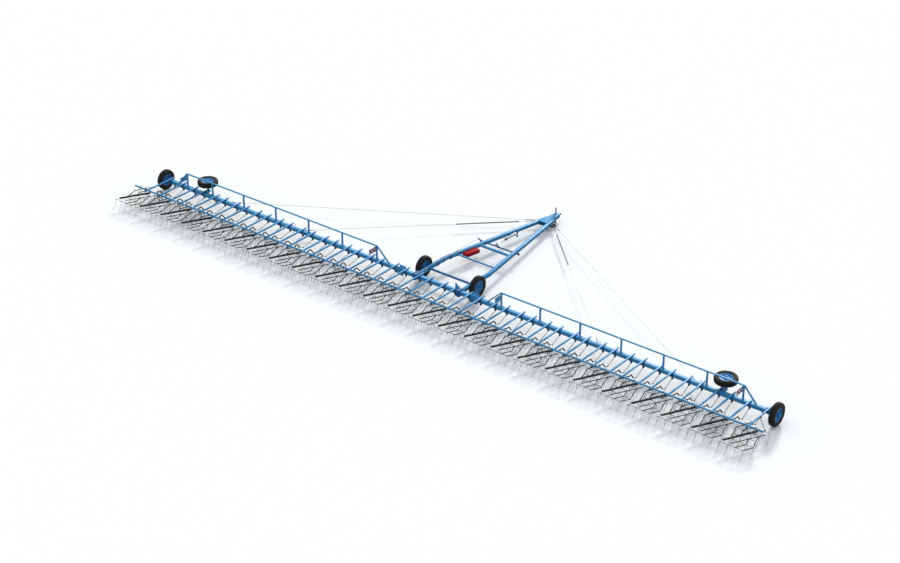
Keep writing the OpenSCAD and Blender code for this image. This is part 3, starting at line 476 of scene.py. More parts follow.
def grown(mesh, tree, **sizes):
    """Runs mesh through a tree and returns the result as a plain mesh."""
    blank = bpy.data.objects.new("blank", mesh)
    scene.collection.objects.link(blank)
    modifier = blank.modifiers.new("grow", "NODES")
    modifier.node_group = tree
    sockets = {s.name: s.identifier for s in tree.interface.items_tree if s.in_out == "INPUT"}
    for label, value in sizes.items():
        modifier[sockets[label]] = value
    graph = bpy.context.evaluated_depsgraph_get()
    made = bpy.data.meshes.new_from_object(blank.evaluated_get(graph))
    bpy.data.objects.remove(blank)
    made.shade_smooth()
    made.set_sharp_from_angle(angle=math.radians(35))
    return made


marks_tree, given = new_tree("parts_on_marks", {"part": "Object", "finish": "Material"})
turn = put(marks_tree, "GeometryNodeInputNamedAttribute", {"Name": "turn"}, data_type="FLOAT_VECTOR")
turned = put(marks_tree, "FunctionNodeEulerToRotation", {0: turn.outputs[0]})
part = put(marks_tree, "GeometryNodeObjectInfo", {"Object": given["part"]})
points = put(marks_tree, "GeometryNodeMeshToPoints", {"Mesh": given["Geometry"]})
copies = put(marks_tree, "GeometryNodeInstanceOnPoints",
             {"Points": points.outputs[0], "Instance": part.outputs["Geometry"],
              "Rotation": turned.outputs[0]})
close_tree(marks_tree, copies.outputs[0], given["finish"])


def parts_on_marks(part_mesh, marks, finish):
    """marks holds (place, turn) pairs."""
    holder = bpy.data.objects.new("part", part_mesh)
    scene.collection.objects.link(holder)
    points = bpy.data.meshes.new("marks")
    points.from_pydata([place for place, turn in marks], [], [])
    turns = points.attributes.new("turn", "FLOAT_VECTOR", "POINT")
    for i, (place, turn) in enumerate(marks):
        turns.data[i].vector = turn
    made = grown(points, marks_tree, part=holder, finish=finish)
    bpy.data.objects.remove(holder)
    return made


print("tree", marks_tree.name, "has", len(marks_tree.nodes), "nodes")

# %% [markdown]
# ## Wheels
# Six equal wheels carry the machine or ride on it as spares for the road. A tyre is a lathe job:
# one outline turned round the axle. The tread is not, so short slanted lugs are set round the
# crown from marks, every second one on the other half. The rim is a second outline with a dish.

# %% Wheel sizes and tyre
wheel_low, wheel_high = box_of("right_end_wheel")
tyre_r = (wheel_high.z - wheel_low.z) / 2
tyre_half = (wheel_high.x - wheel_low.x) / 2
rim_r = 0.205
lug_depth = 0.014
lug_count = 22
carcass_r = tyre_r - lug_depth


def tyre_mesh():
    wall = tyre_r - rim_r
    upper = [(rim_r + 0.0005, 0.70), (rim_r + 0.10 * wall, 0.80), (rim_r + 0.28 * wall, 0.95),
             (rim_r + 0.46 * wall, 0.995), (rim_r + 0.66 * wall, 0.97), (tyre_r - 0.036, 0.92),
             (tyre_r - 0.024, 0.84), (carcass_r - 0.003, 0.70), (carcass_r, 0.40), (carcass_r + 0.001, 0.0)]
    outline = [(r, share * tyre_half) for r, share in upper]
    outline += [(r, -x) for r, x in reversed(outline[:-1])]
    bm = bmesh.new()
    lathe_into(bm, outline, 96)
    return mesh_from(bm, "tyre", math.radians(50))


def lug_mesh(half):
    """Slanted rubber block on one half of the crown, lower at its outer end."""
    bm = bmesh.new()
    inner, outer, thick, lean = 0.004, 0.80 * tyre_half, 0.026, 0.045
    rows = []
    for x, slide, drop in ((inner, 0, 0.0012), (0.4 * tyre_half, lean * 0.55, 0.0012),
                           (outer, lean, 0.016)):
        top = tyre_r - drop
        base = carcass_r - 0.016
        rows.append([bm.verts.new((half * x, slide + s * thick / 2, z))
                     for s, z in ((-1.25, base), (-1, top), (1, top), (1.25, base))])
    skin_into(bm, rows)
    return mesh_from(bm, "lug")


tread = []
for half, lag in ((1, 0.0), (-1, 0.5)):
    marks = [((0, 0, 0), (2 * math.pi * (k + lag) / lug_count, 0, 0)) for k in range(lug_count)]
    tread.append(parts_on_marks(lug_mesh(half), marks, rubber))
bm = bmesh.new()
for part in [tyre_mesh()] + tread:
    bm.from_mesh(part)
tyre = bpy.data.meshes.new("tyre_with_tread")
bm.to_mesh(tyre)
bm.free()
tyre.shade_smooth()
tyre.set_sharp_from_angle(angle=math.radians(40))
print("tyre faces", len(tyre.polygons))

# %% [markdown]
# The rim has rolled lips that hold the beads, a well between them, a dished disc and a hub. Eight
# wheel bolts sit on a circle round the hub. The hub is bored for the axle, which the frame owns.

# %% Rim and bolts
axle_r = 0.0251
hub_r = 0.045
bolt_circle_r = 0.085


def bolt_mesh(across, height, washer=1.45, sides_of_washer=12):
    """Hexagon head on a washer, standing on z = 0."""
    bm = bmesh.new()
    thick = 0.2 * height
    for radius, low, high, count in ((across * washer / 2, -thick, thick, sides_of_washer),
                                     (across / 2, 0, height, 6)):
        skin_into(bm, [[bm.verts.new((radius * c, radius * s, z)) for c, s in circle(count)]
                       for z in (low, high)])
    return mesh_from(bm, "bolt")


def rim_mesh():
    lip, well = 0.0684, 0.186
    seat = well - 0.006
    outline = [(axle_r, -tyre_half), (hub_r - 0.006, -tyre_half), (hub_r, -tyre_half + 0.008),
               (hub_r, 0.004), (0.075, 0.012), (0.125, 0.012), (0.160, 0.020), (seat, 0.020),
               (seat, -lip + 0.006), (rim_r - 0.006, -lip), (rim_r, -lip), (rim_r, lip),
               (rim_r - 0.006, lip),
               (seat, lip - 0.006), (seat, 0.032), (0.160, 0.032), (0.125, 0.024), (0.075, 0.024),
               (hub_r, 0.030), (hub_r, tyre_half - 0.008), (hub_r - 0.006, tyre_half), (axle_r, tyre_half)]
    bm = bmesh.new()
    lathe_into(bm, outline, 72)
    return mesh_from(bm, "rim", math.radians(30))


wheel_bolt = bolt_mesh(0.022, 0.013)
face_out, face_in = math.pi / 2, -math.pi / 2
bolt_marks = []
for k in range(8):
    a = 2 * math.pi * k / 8
    y, z = bolt_circle_r * math.cos(a), bolt_circle_r * math.sin(a)
    bolt_marks += [((0.024, y, z), (0, face_out, 0)), ((0.012, y, z), (0, face_in, 0))]
rim, rim_bolts = rim_mesh(), parts_on_marks(wheel_bolt, bolt_marks, deep_blue)

wheels = 0
for side, sign in sides.items():
    for place in ("centre", "end", "transport"):
        node = f"{side}_{place}_wheel"
        low, high = box_of(node)
        upright = Euler((0, 0, math.pi if sign < 0 else 0))
        turn = Euler((0, -math.pi / 2, 0)) if place == "transport" else upright
        seat = Matrix.Translation((low + high) / 2) @ turn.to_matrix().to_4x4()
        for mesh, label, finish, slot in ((tyre, "tyre", rubber, "tyre_rubber"),
                                          (rim, "rim", rim_blue, "blue_paint"),
                                          (rim_bolts, "wheel_bolts", deep_blue, "dark_blue_paint")):
            add_piece(f"{node}_{label}", moved(mesh, seat), body_of_node(node), finish, [node])
        wheels += 1
print("wheels", wheels)

# %% [markdown]
# ## Harrow sections
# Each section is a flat lattice of black bars with twenty spring tines. All twenty five are alike,
# so one is made at the middle of the machine and copied along the row. Bars are drawn along plan
# points with mitred corners, then bevelled. A row is counted from the back, 0 to 4.

# %% Section bars
beam_axis = Vector(joints["beam_roll"]["pos_m"])
section_numbers = range(1, 26)
section_centre = {n: joints[f"section_{n:02d}_float"]["pos_m"][0] for n in section_numbers}
rear_row_y = beam_axis.y - 2.085
row_pitch = 0.297
bar_low, bar_high, main_high = 0.290, 0.306, 0.336
strap_high = 0.314
half_width, long_gap = 0.455, 0.260
lean = (2 * half_width - long_gap) / 4


def row_y(row):
    return rear_row_y + row * row_pitch


def turned_end(path):
    """The same bar at the other end of the section, which is turned half round."""
    return [(-x, 4 - row) for x, row in path]


def strip_into(bm, way, width, low, high, place):
    """Flat strip along 2-D points with mitred bends. place turns (u, v, depth) into a spot."""
    way = [way[0] - (way[1] - way[0]).normalized() * width / 2, *way[1:-1],
           way[-1] + (way[-1] - way[-2]).normalized() * width / 2]
    rows = []
    for i, spot in enumerate(way):
        before = (spot - way[i - 1] if i else way[1] - spot).normalized()
        after = (way[i + 1] - spot if i < len(way) - 1 else spot - way[i - 1]).normalized()
        along = (before + after).normalized()
        across = Vector((-along.y, along.x)) * width / 2 / along.dot(before)
        rows.append([bm.verts.new(place(*(spot + s * across), depth))
                     for s, depth in ((-1, low), (1, low), (1, high), (-1, high))])
    skin_into(bm, rows)


def flat_bar_into(bm, path, width, low, high):
    way = [Vector((x, row_y(row))) for x, row in path]
    strip_into(bm, way, width, low, high, lambda u, v, depth: (u, v, depth))


long_rows = [[(-half_width + bar * long_gap + row * lean, row) for row in range(5)] for bar in (0, 1)]
bar_inset = 0.135 / row_pitch
long_bars = [[(-half_width + bar * long_gap + row * lean, row) for row in (bar_inset, 4 - bar_inset)]
             for bar in (0, 1)]
inner_short = [(0.05, 0), (0.05 + lean, 1), long_rows[1][2]]
outer_short = [(0.29, 0), (0.29 + lean, 1), (0.355, 2), long_rows[1][3]]
rear_nodes = inner_short[:2] + outer_short[:3]
tine_nodes = long_rows[0] + long_rows[1] + rear_nodes + turned_end(rear_nodes)
bm = bmesh.new()
flat_bar_into(bm, long_bars[0], 0.050, bar_low, main_high)
for path in (long_bars[1], inner_short, outer_short, turned_end(inner_short), turned_end(outer_short)):
    flat_bar_into(bm, path, 0.024, bar_low, bar_high)
for row in range(5):
    reach = [x for x, r in tine_nodes if r == row]
    flat_bar_into(bm, [(min(reach), row), (max(reach), row)], 0.010, bar_high, strap_high)
bevelled(bm, 0.004)
section_bars = mesh_from(bm, "section_bars")
print("bars of one section:", len(section_bars.polygons), "faces,", len(tine_nodes), "tines")

# %% [markdown]
# ## Spring tines
# A tine drops straight from its bar and then bends back to a tip on the ground. Its shape is a
# rule: a straight length, then an arc. So a tree draws one line, moves each of its points by that
# rule, and sweeps a six-sided wire along it. A nut under the bar holds each tine.

# %% Spring tine tree
tine_tree, given = new_tree("spring_tines", {"wire": "Float", "straight": "Float", "bend radius": "Float",
                                             "bend angle": "Float", "nut": "Float", "finish": "Material"})
line = put(tine_tree, "GeometryNodeCurvePrimitiveLine", {"Start": (0, 0, 0), "End": (0, 0, -1)})
fine = put(tine_tree, "GeometryNodeResampleCurve", {"Curve": line.outputs[0], "Count": 9})
share = put(tine_tree, "GeometryNodeSplineParameter").outputs["Factor"]
arc_length = maths(tine_tree, "MULTIPLY", given["bend radius"], given["bend angle"])
run = maths(tine_tree, "MULTIPLY", share, maths(tine_tree, "ADD", given["straight"], arc_length))
past = maths(tine_tree, "MAXIMUM", maths(tine_tree, "SUBTRACT", run, given["straight"]), 0.0)
angle = maths(tine_tree, "DIVIDE", past, given["bend radius"])
back = maths(tine_tree, "MULTIPLY", given["bend radius"],
             maths(tine_tree, "SUBTRACT", maths(tine_tree, "COSINE", angle), 1.0))
drop = maths(tine_tree, "ADD", maths(tine_tree, "MINIMUM", run, given["straight"]),
             maths(tine_tree, "MULTIPLY", given["bend radius"], maths(tine_tree, "SINE", angle)))
spot = put(tine_tree, "ShaderNodeCombineXYZ", {"Y": back, "Z": maths(tine_tree, "MULTIPLY", drop, -1.0)})
bent = put(tine_tree, "GeometryNodeSetPosition", {"Geometry": fine.outputs[0], "Position": spot.outputs[0]})
wire = put(tine_tree, "GeometryNodeCurvePrimitiveCircle",
           {"Resolution": 6, "Radius": maths(tine_tree, "DIVIDE", given["wire"], 2.0)})
swept = put(tine_tree, "GeometryNodeCurveToMesh",
            {"Curve": bent.outputs[0], "Profile Curve": wire.outputs[0], "Fill Caps": True})
nut = put(tine_tree, "GeometryNodeMeshCylinder",
          {"Vertices": 6, "Radius": given["nut"], "Depth": given["nut"]})
both = put(tine_tree, "GeometryNodeJoinGeometry")
tine_tree.links.new(swept.outputs[0], both.inputs[0])
tine_tree.links.new(nut.outputs[0], both.inputs[0])
points = put(tine_tree, "GeometryNodeMeshToPoints", {"Mesh": given["Geometry"]})
copies = put(tine_tree, "GeometryNodeInstanceOnPoints",
             {"Points": points.outputs[0], "Instance": both.outputs[0]})
close_tree(tine_tree, copies.outputs[0], given["finish"])

tine_wire, bend_r, bend_angle = 0.012, 0.280, math.radians(60)
tine_straight = bar_low - (bend_r + tine_wire / 2) * math.sin(bend_angle)
marks = bpy.data.meshes.new("tine_marks")
marks.from_pydata([(x, row_y(row), bar_low) for x, row in tine_nodes], [], [])
section_tines = grown(marks, tine_tree, **{"wire": tine_wire, "straight": tine_straight,
                                           "bend radius": bend_r, "bend angle": bend_angle,
                                           "nut": 0.014, "finish": tine_steel})
print("tines of one section:", len(section_tines.polygons), "faces")

# %% [markdown]
# ## Hangers, lugs and bolts of a section
# Two wire arches go round the lift pipe with plenty of play, so a section floats in work and is
# picked up when the beam rolls. Two lugs in front take the pull links. Bolt heads on top show where
# the straps are held down, and short posts hang the outermost tines of the long bars from them. The
# bolts are small, so each has few faces and comes from marks.

# %% Section fittings
pipe_y, pipe_z, arch_r, arch_z, wire_r = row_y(3), 0.4953, 0.063, 0.5003, 0.006
hanger_x, lug_x, lug_reach, pull_y, pull_z = 0.165, 0.285, 0.078, row_y(4) + 0.062, 0.306


def wire_into(bm, way, radius, count=8):
    """Round wire along points, closed at both ends."""
    rings = []
    for i, spot in enumerate(way):
        along = (way[min(i + 1, len(way) - 1)] - way[max(i - 1, 0)]).normalized()
        across = along.orthogonal() if abs(along.x) > 0.9 else along.cross(Vector((1, 0, 0)))
        across.normalize()
        third = along.cross(across)
        rings.append([bm.verts.new(spot + radius * (c * across + s * third)) for c, s in circle(count)])
    skin_into(bm, rings)


bm = bmesh.new()
for sign in (-1, 1):
    arch = [Vector((sign * hanger_x, pipe_y + arch_r * math.cos(a), arch_z + arch_r * math.sin(a)))
            for a in (math.pi * k / 16 for k in range(17))]
    foot = [Vector((sign * hanger_x, pipe_y + s * arch_r, strap_high)) for s in (1, -1)]
    wire_into(bm, [foot[0]] + arch + [foot[1]], wire_r)
section_hangers = mesh_from(bm, "hangers")
bm = bmesh.new()
for sign in (-1, 1):
    box_into(bm, (sign * hanger_x - 0.012, pipe_y - 0.075, strap_high),
             (sign * hanger_x + 0.012, pipe_y + 0.075, 0.322))
    box_into(bm, (sign * lug_x - 0.006, row_y(4), pull_z - 0.016),
             (sign * lug_x + 0.006, row_y(4) + lug_reach, pull_z + 0.016))
bevelled(bm, 0.003)
for x, row in long_rows[0][::4] + long_rows[1][::4]:
    wire_into(bm, [Vector((x, row_y(row), z)) for z in (bar_low - 0.004, bar_high + 0.004)], 0.009, 10)
section_lugs = mesh_from(bm, "lugs")
small_bolt = bolt_mesh(0.020, 0.009, 1.3, 8)
bolt_spots = [((x, row_y(row), main_high if (x, row) in long_rows[0][1:4] else strap_high), (0, 0, 0))
              for x, row in tine_nodes]
section_bolts = parts_on_marks(small_bolt, bolt_spots, tine_steel)
for n in section_numbers:
    name, along = f"harrow_section_{n:02d}", Matrix.Translation((section_centre[n], 0, 0))
    for mesh, label, finish, slot in ((section_bars, "bars", bar_black, "black_steel"),
                                      (section_tines, "tines", tine_steel, "bare_steel"),
                                      (section_hangers, "hangers", bar_black, "black_steel"),
                                      (section_lugs, "lugs", bar_black, "black_steel"),
                                      (section_bolts, "bolts", tine_steel, "bare_steel")):
        add_piece(f"{name}_{label}", moved(mesh, along), body_of_node(name), finish, [name])
print("sections", len(section_numbers))

# %% [markdown]
# ## Pull chains
# A chain pulls each front corner of a section. A chain is a path of links, each turned a quarter from
# the last. The tree samples the path at the link pitch and sets a link on each point, turned to the
# path's tangent and rolled by its number.

# %% Chain tree
chain_tree, given = new_tree("chain_links", {"pitch": "Float", "link width": "Float", "wire": "Float",
                                             "finish": "Material"})
path = put(chain_tree, "GeometryNodeMeshToCurve", {"Mesh": given["Geometry"]})
steps = put(chain_tree, "GeometryNodeResampleCurve",
            {"Curve": path.outputs[0], "Length": given["pitch"]}, mode="LENGTH")
tangent = put(chain_tree, "GeometryNodeInputTangent")
aligned = put(chain_tree, "FunctionNodeAlignRotationToVector", {"Vector": tangent.outputs[0]}, axis="X")
number = put(chain_tree, "GeometryNodeInputIndex")
odd = maths(chain_tree, "MODULO", number.outputs[0], 2.0)
roll = put(chain_tree, "FunctionNodeAxisAngleToRotation",
           {"Axis": (1, 0, 0), "Angle": maths(chain_tree, "MULTIPLY", odd, math.pi / 2)})
rolled = put(chain_tree, "FunctionNodeRotateRotation",
             {"Rotation": aligned.outputs[0], "Rotate By": roll.outputs[0]}, rotation_space="LOCAL")
ring = put(chain_tree, "GeometryNodeCurvePrimitiveCircle",
           {"Resolution": 10, "Radius": maths(chain_tree, "DIVIDE", given["link width"], 2.0)})
stretch = put(chain_tree, "ShaderNodeCombineXYZ", {"X": 1.75, "Y": 1.0, "Z": 1.0})
oval = put(chain_tree, "GeometryNodeTransform", {"Geometry": ring.outputs[0], "Scale": stretch.outputs[0]})
wire = put(chain_tree, "GeometryNodeCurvePrimitiveCircle",
           {"Resolution": 5, "Radius": maths(chain_tree, "DIVIDE", given["wire"], 2.0)})
link = put(chain_tree, "GeometryNodeCurveToMesh",
           {"Curve": oval.outputs[0], "Profile Curve": wire.outputs[0]})
copies = put(chain_tree, "GeometryNodeInstanceOnPoints",
             {"Points": steps.outputs[0], "Instance": link.outputs[0], "Rotation": rolled.outputs[0]})
close_tree(chain_tree, copies.outputs[0], given["finish"])
print("tree", chain_tree.name, "has", len(chain_tree.nodes), "nodes")

# %% [markdown]
# Every lift arm has a clevis under the beam right below it. The chain runs from its pin down to the eye
# of a bent link, and the link pulls the section's lug. The last chain of a wing has no link: it runs
# aslant from the end arm, behind the end wheel, straight to the lug.

# %% Chains, brackets and pins
arm_offset, end_arm_x, hinge_x = 0.285, 11.8975, 1.5
beam_half = 0.060
beam_low, beam_top = beam_axis.z - beam_half, beam_axis.z + beam_half
last_lug_x, last_chain_y = 12.285, beam_axis.y - 0.45
chain_side, clevis_half, cheek_t, clevis_deep, pin_r = 0.033, 0.020, 0.008, 0.030, 0.010
clevis_drop, end_drop, pin_back, pin_up, eye_pin_r = 0.1, 0.05, 0.015, 0.014, 0.014
chain_pitch, chain_width, chain_wire = 0.034, 0.026, 0.008
link_reach, link_eye_z, link_w, link_half = 0.405, 0.090, 0.036, 0.007
link_way = [Vector((pull_y, pull_z)), Vector((pull_y + link_reach / 3, pull_z)),
            Vector((pull_y + 0.62 * link_reach, (pull_z + link_eye_z) / 2 - link_w))]


def clevis_into(bm, x, y, top, drop):
    """Two cheeks under a pad."""
    box_into(bm, (x - clevis_half, y - clevis_deep, top - 0.01), (x + clevis_half, y + clevis_deep, top))
    for side in (-1, 1):
        box_into(bm, (x + side * clevis_half, y - clevis_deep, top - drop),
                 (x + side * (clevis_half - cheek_t), y + clevis_deep, top - 0.01))


centre_x = [n * 1.0 + s * arm_offset for n in (-1, 0, 1) for s in (-1, 1)]
wing_x = [hinge_x + 0.5 + n + s * arm_offset for n in range(11) for s in (-1, 1)][:-1]
centre_spots = [(x, x, beam_axis.y, beam_low, clevis_drop, 1) for x in centre_x]
chain_sets = {"centre": ("beam", "centre_pull_chains", centre_spots)}
for side, sign in sides.items():
    spots = [(sign * x, sign * x, beam_axis.y, beam_low, clevis_drop, sign) for x in wing_x]
    spots.append((sign * end_arm_x, sign * last_lug_x, last_chain_y, beam_top, end_drop, sign))
    chain_sets[side] = (f"{side}_wing", f"{side}_pull_chains", spots)
for label, (body, node, spots) in chain_sets.items():
    runs, blocks = bpy.data.meshes.new("runs"), bmesh.new()
    ends, edges = [], []
    for x, lug, y, top, drop, sign in spots:
        side_x = lug + sign * chain_side * (1 if x == lug else -1)
        low_end = (side_x, pull_y + link_reach, link_eye_z) if x == lug else (side_x, pull_y, pull_z)
        edges.append((len(ends), len(ends) + 1))
        ends += [(x, y - pin_back, top - drop + pin_up), low_end]
        clevis_into(blocks, x, y, top, drop)
        if x == lug:
            strip_into(blocks, link_way, link_w, side_x - link_half, side_x + link_half,
                       lambda u, v, depth: (depth, u, v))
    runs.from_pydata(ends, edges, [])
    links = grown(runs, chain_tree, **{"pitch": chain_pitch, "link width": chain_width,
                                       "wire": chain_wire, "finish": chain_steel})
    bevelled(blocks, 0.003)
    for (x, lug, y, top, drop, sign), (side_x, eye_y, eye_z) in zip(spots, ends[1::2]):
        out = math.copysign(0.04, side_x - lug)
        pins = [(x - clevis_half, x + clevis_half, y - pin_back, top - drop + pin_up, pin_r),
                (lug - out / 2, lug + out, pull_y, pull_z, pin_r)]
        if x == lug:
            pins.append((side_x - eye_pin_r, side_x + eye_pin_r, eye_y, eye_z, eye_pin_r))
            wire_into(blocks, [Vector((side_x, eye_y, eye_z)), Vector((side_x, *link_way[-1]))], 0.007, 10)
        for low, high, across, up, radius in pins:
            wire_into(blocks, [Vector((low, across, up)), Vector((high, across, up))], radius, 12)
    add_piece(f"{label}_chain_links", links, body, chain_steel, [node])
    add_piece(f"{label}_chain_brackets", mesh_from(blocks, "brackets"), body, bar_black,
              [node])
    print(label, "chains", len(spots), "faces", len(links.polygons))

# %% [markdown]
# ## Stays
# Wire ropes run from the drawbar's nose to loops round each wing. A rope is a bundle of strands with
# a twist. The tree sweeps a star-shaped outline along the path and adds tilt by length, so the star's
# points become strands that wind round the rope.

# %% Rope tree
rope_tree, given = new_tree("laid_rope", {"diameter": "Float", "lay": "Float", "step": "Float",
                                          "finish": "Material"})
path = put(rope_tree, "GeometryNodeMeshToCurve", {"Mesh": given["Geometry"]})
fine = put(rope_tree, "GeometryNodeResampleCurve",
           {"Curve": path.outputs[0], "Length": given["step"]}, mode="LENGTH")
along = put(rope_tree, "GeometryNodeSplineParameter").outputs["Length"]
twist = maths(rope_tree, "DIVIDE", maths(rope_tree, "MULTIPLY", along, 2 * math.pi), given["lay"])
laid = put(rope_tree, "GeometryNodeSetCurveTilt", {"Curve": fine.outputs[0], "Tilt": twist})
radius = maths(rope_tree, "DIVIDE", given["diameter"], 2.0)
star = put(rope_tree, "GeometryNodeCurveStar", {"Points": 6, "Outer Radius": radius,
                                                "Inner Radius": maths(rope_tree, "MULTIPLY", radius, 0.8)})
swept = put(rope_tree, "GeometryNodeCurveToMesh",
            {"Curve": laid.outputs[0], "Profile Curve": star.outputs[0], "Fill Caps": True})
close_tree(rope_tree, swept.outputs[0], given["finish"])
print("tree", rope_tree.name, "has", len(rope_tree.nodes), "nodes")

# %% [markdown]
# The inner stay passes through a long tensioner tube, and each stay ends in a turnbuckle. The loop
# goes right round the wing beam and leaves it free to roll. The fittings are made along X and then
# turned to the stay, because a lathe is easiest round an axis.

# %% Stays
stay_pin = Vector((0.33, beam_axis.y + 5.8, 0.17817))
stay_step, loop_y, loop_z = 0.024, 0.09215, 0.12485
rope_d, tube_d, buckle_d = 0.014, 0.046, 0.026
stay_ends = {"inner": 6.11, "outer": 9.64}


def along_way(start, end, mesh):
    """Turns a mesh made along X to run from start towards end."""
    turn = (end - start).to_track_quat("X", "Z").to_matrix().to_4x4()
    return moved(mesh, Matrix.Translation(start) @ turn)


def rod_mesh(stations, count=24):
    """Turned bar along X through (x, radius) stations."""
    bm = bmesh.new()
    skin_into(bm, [[bm.verts.new((x, r * c, r * s)) for c, s in circle(count)] for x, r in stations])
    return mesh_from(bm, "rod")


for side, sign in sides.items():
    ropes, fittings, shackles = bpy.data.meshes.new("ropes"), bmesh.new(), bmesh.new()
    ends, edges = [], []
    for stay, reach in stay_ends.items():
        step = -stay_step if stay == "inner" else stay_step
        start = Vector((sign * stay_pin.x, stay_pin.y + step, stay_pin.z))
        end = Vector((sign * reach, beam_axis.y + loop_y, beam_axis.z - loop_z))
        corners = [Vector((sign * reach, beam_axis.y + y * loop_y, beam_axis.z + z * loop_z))
                   for y, z in ((1, -1), (1, 1), (-1, 1), (-1, -1))]
        first = len(ends)
        ends += [start + (end - start).normalized() * 0.02, end]
        edges.append((first, first + 1))
        ends += corners
        edges += [(first + 2 + k, first + 2 + (k + 1) % 4) for k in range(4)]
        span = (end - start).length
        buckle = [(span - 0.6, 0.005), (span - 0.59, 0.011), (span - 0.5, 0.011), (span - 0.495, 0.016),
                  (span - 0.46, 0.016), (span - 0.455, buckle_d / 2), (span - 0.155, buckle_d / 2),
                  (span - 0.15, 0.016), (span - 0.115, 0.016), (span - 0.11, 0.011), (span - 0.02, 0.009)]
        fittings.from_mesh(along_way(start, end, rod_mesh(buckle, 12)))
        eye = rod_mesh([(-0.018, 0.0235), (-0.015, 0.024), (0.015, 0.024), (0.018, 0.0235)])
        shackles.from_mesh(along_way(start, start + Vector((0, 1, 0)), eye))
        ferrule = rod_mesh([(0.02, 0.010), (0.05, 0.012), (0.12, 0.012), (0.13, 0.010), (0.42, 0.010),
                            (0.43, 0.008)], 12)
        shackles.from_mesh(along_way(start, end, ferrule))
        if stay == "inner":
            tube = [(0.65, 0.010), (0.655, 0.019), (0.66, tube_d / 2), (0.71, tube_d / 2), (0.715, 0.019),
                    (1.67, 0.019), (1.675, tube_d / 2), (1.725, tube_d / 2), (1.73, 0.019),
                    (2.685, 0.019), (2.69, tube_d / 2), (2.74, tube_d / 2), (2.745, 0.019), (2.75, 0.010)]
            add_piece(f"{side}_tensioner_tube", along_way(start, end, rod_mesh(tube, 32)), f"{side}_stays",
                      tube_grey, [f"{side}_stays"])
    ropes.from_pydata(ends, edges, [])
    rope = grown(ropes, rope_tree, diameter=rope_d, lay=0.11, step=0.012, finish=rope_steel)
    add_piece(f"{side}_stay_ropes", rope, f"{side}_stays", rope_steel, [f"{side}_stays"])
    for made, label, finish, slot in ((fittings, "fittings", tube_grey, "bare_steel"),
                                      (shackles, "shackles", bar_black, "black_steel")):
        add_piece(f"{side}_stay_{label}", mesh_from(made, label), f"{side}_stays", finish,
                  [f"{side}_stays"])
    print(side, "rope faces", len(rope.polygons))

# %% [markdown]
# ## Link rod and cylinder
# A link ties the rock shaft's lever to the beam's lever, so that the cylinder rolls the beam. It is a
# bright rod with a painted tube sleeved on it and an eye at each end. The cylinder gets a black gland
# and cap, and a port block on top of each.

# %% Link rod and cylinder ends
link_front = Vector(joints["link_swing"]["pos_m"])
lever_reach = joints["rocker_turn"]["pos_m"][2] - link_front.z
link_rear = Vector((link_front.x, beam_axis.y + lever_reach, beam_axis.z - lever_reach))
link_length = (link_front - link_rear).length
eye_r, eye_bore, eye_half = 0.0216, 0.01205, 0.008
bm = bmesh.new()
for place in (link_rear, link_front):
    eye = bmesh.new()
    lathe_into(eye, [(eye_bore, -eye_half), (eye_r, -eye_half), (eye_r, eye_half),
                     (eye_bore, eye_half)], 40)
    bm.from_mesh(moved(mesh_from(eye, "eye"), Matrix.Translation(place)))
bm.from_mesh(along_way(link_rear, link_front, rod_mesh([(0.019, 0.008), (link_length - 0.019, 0.008)])))
add_piece("link_rod_bar", mesh_from(bm, "link"), "link", barrel_silver, ["link_rod"])
sleeve = [(0.65, 0.009), (0.65, 0.020), (0.654, 0.022), (1.326, 0.022), (1.33, 0.020), (1.33, 0.009)]
add_piece("link_rod_sleeve", along_way(link_rear, link_front, rod_mesh(sleeve, 32)), "link", sky_blue,
          ["link_rod"])
barrel_x, barrel_z, barrel_r = -0.06, barrel_high.z - 0.040, 0.040
bm = bmesh.new()
for start, length in ((0.0, 0.055), (barrel_length - 0.06, 0.06)):
    ring = bmesh.new()
    end = start + length
    lathe_into(ring, [(barrel_r - 0.002, start + 0.001), (barrel_r + 0.002, start + 0.003),
                      (barrel_r + 0.002, end - 0.003), (barrel_r - 0.002, end - 0.001)], 48)
    box_into(ring, (start + 0.012, -0.014, 0.034), (end - 0.014, 0.014, 0.054))
    seat = Matrix.Translation((barrel_x, barrel_low.y, barrel_z)) @ Matrix.Rotation(math.pi / 2, 4, "Z")
    bm.from_mesh(moved(mesh_from(ring, "ring"), seat))
add_piece("roll_cylinder_caps", mesh_from(bm, "caps"), "drawbar", bar_black,
          ["roll_cylinder_barrel"])
print("link", round(link_length, 3), "m long")

# %% [markdown]
# ## Arm clamps
# Every lift arm is held on the beam by a clamp: two cheek plates on the beam's faces and two ears
# that grip the arm. U-bolts tie the lift pipe to the arms, and plugs close the arms' open ends. Each
# of these repeats fifty times, so each is made once and set on marks, the same marks for all.

# %% Arm clamps, U-bolts and plugs
arm_half, clamp_half, plate_t, arm_top = 0.0225, 0.06, 0.008, 0.465
clamp_edge, clamp_ear_top, bolt_out, bolt_up = 0.058, 0.096, 0.044, 0.038
arm_front_y, arm_rear_y = beam_axis.y + 0.170, pipe_y - 0.060
facing = {1: (-math.pi / 2, 0, 0), -1: (math.pi / 2, 0, 0)}


def arm_clamp():
    bm = bmesh.new()
    for face in (-1, 1):
        box_into(bm, (-clamp_half, face * beam_half, -clamp_edge),
                 (clamp_half, face * (beam_half + plate_t), clamp_edge))
        box_into(bm, (face * arm_half, -clamp_edge, beam_half),
                 (face * (arm_half + plate_t), clamp_edge, clamp_ear_top))
    bevelled(bm, 0.0025)
    return mesh_from(bm, "arm_clamp")


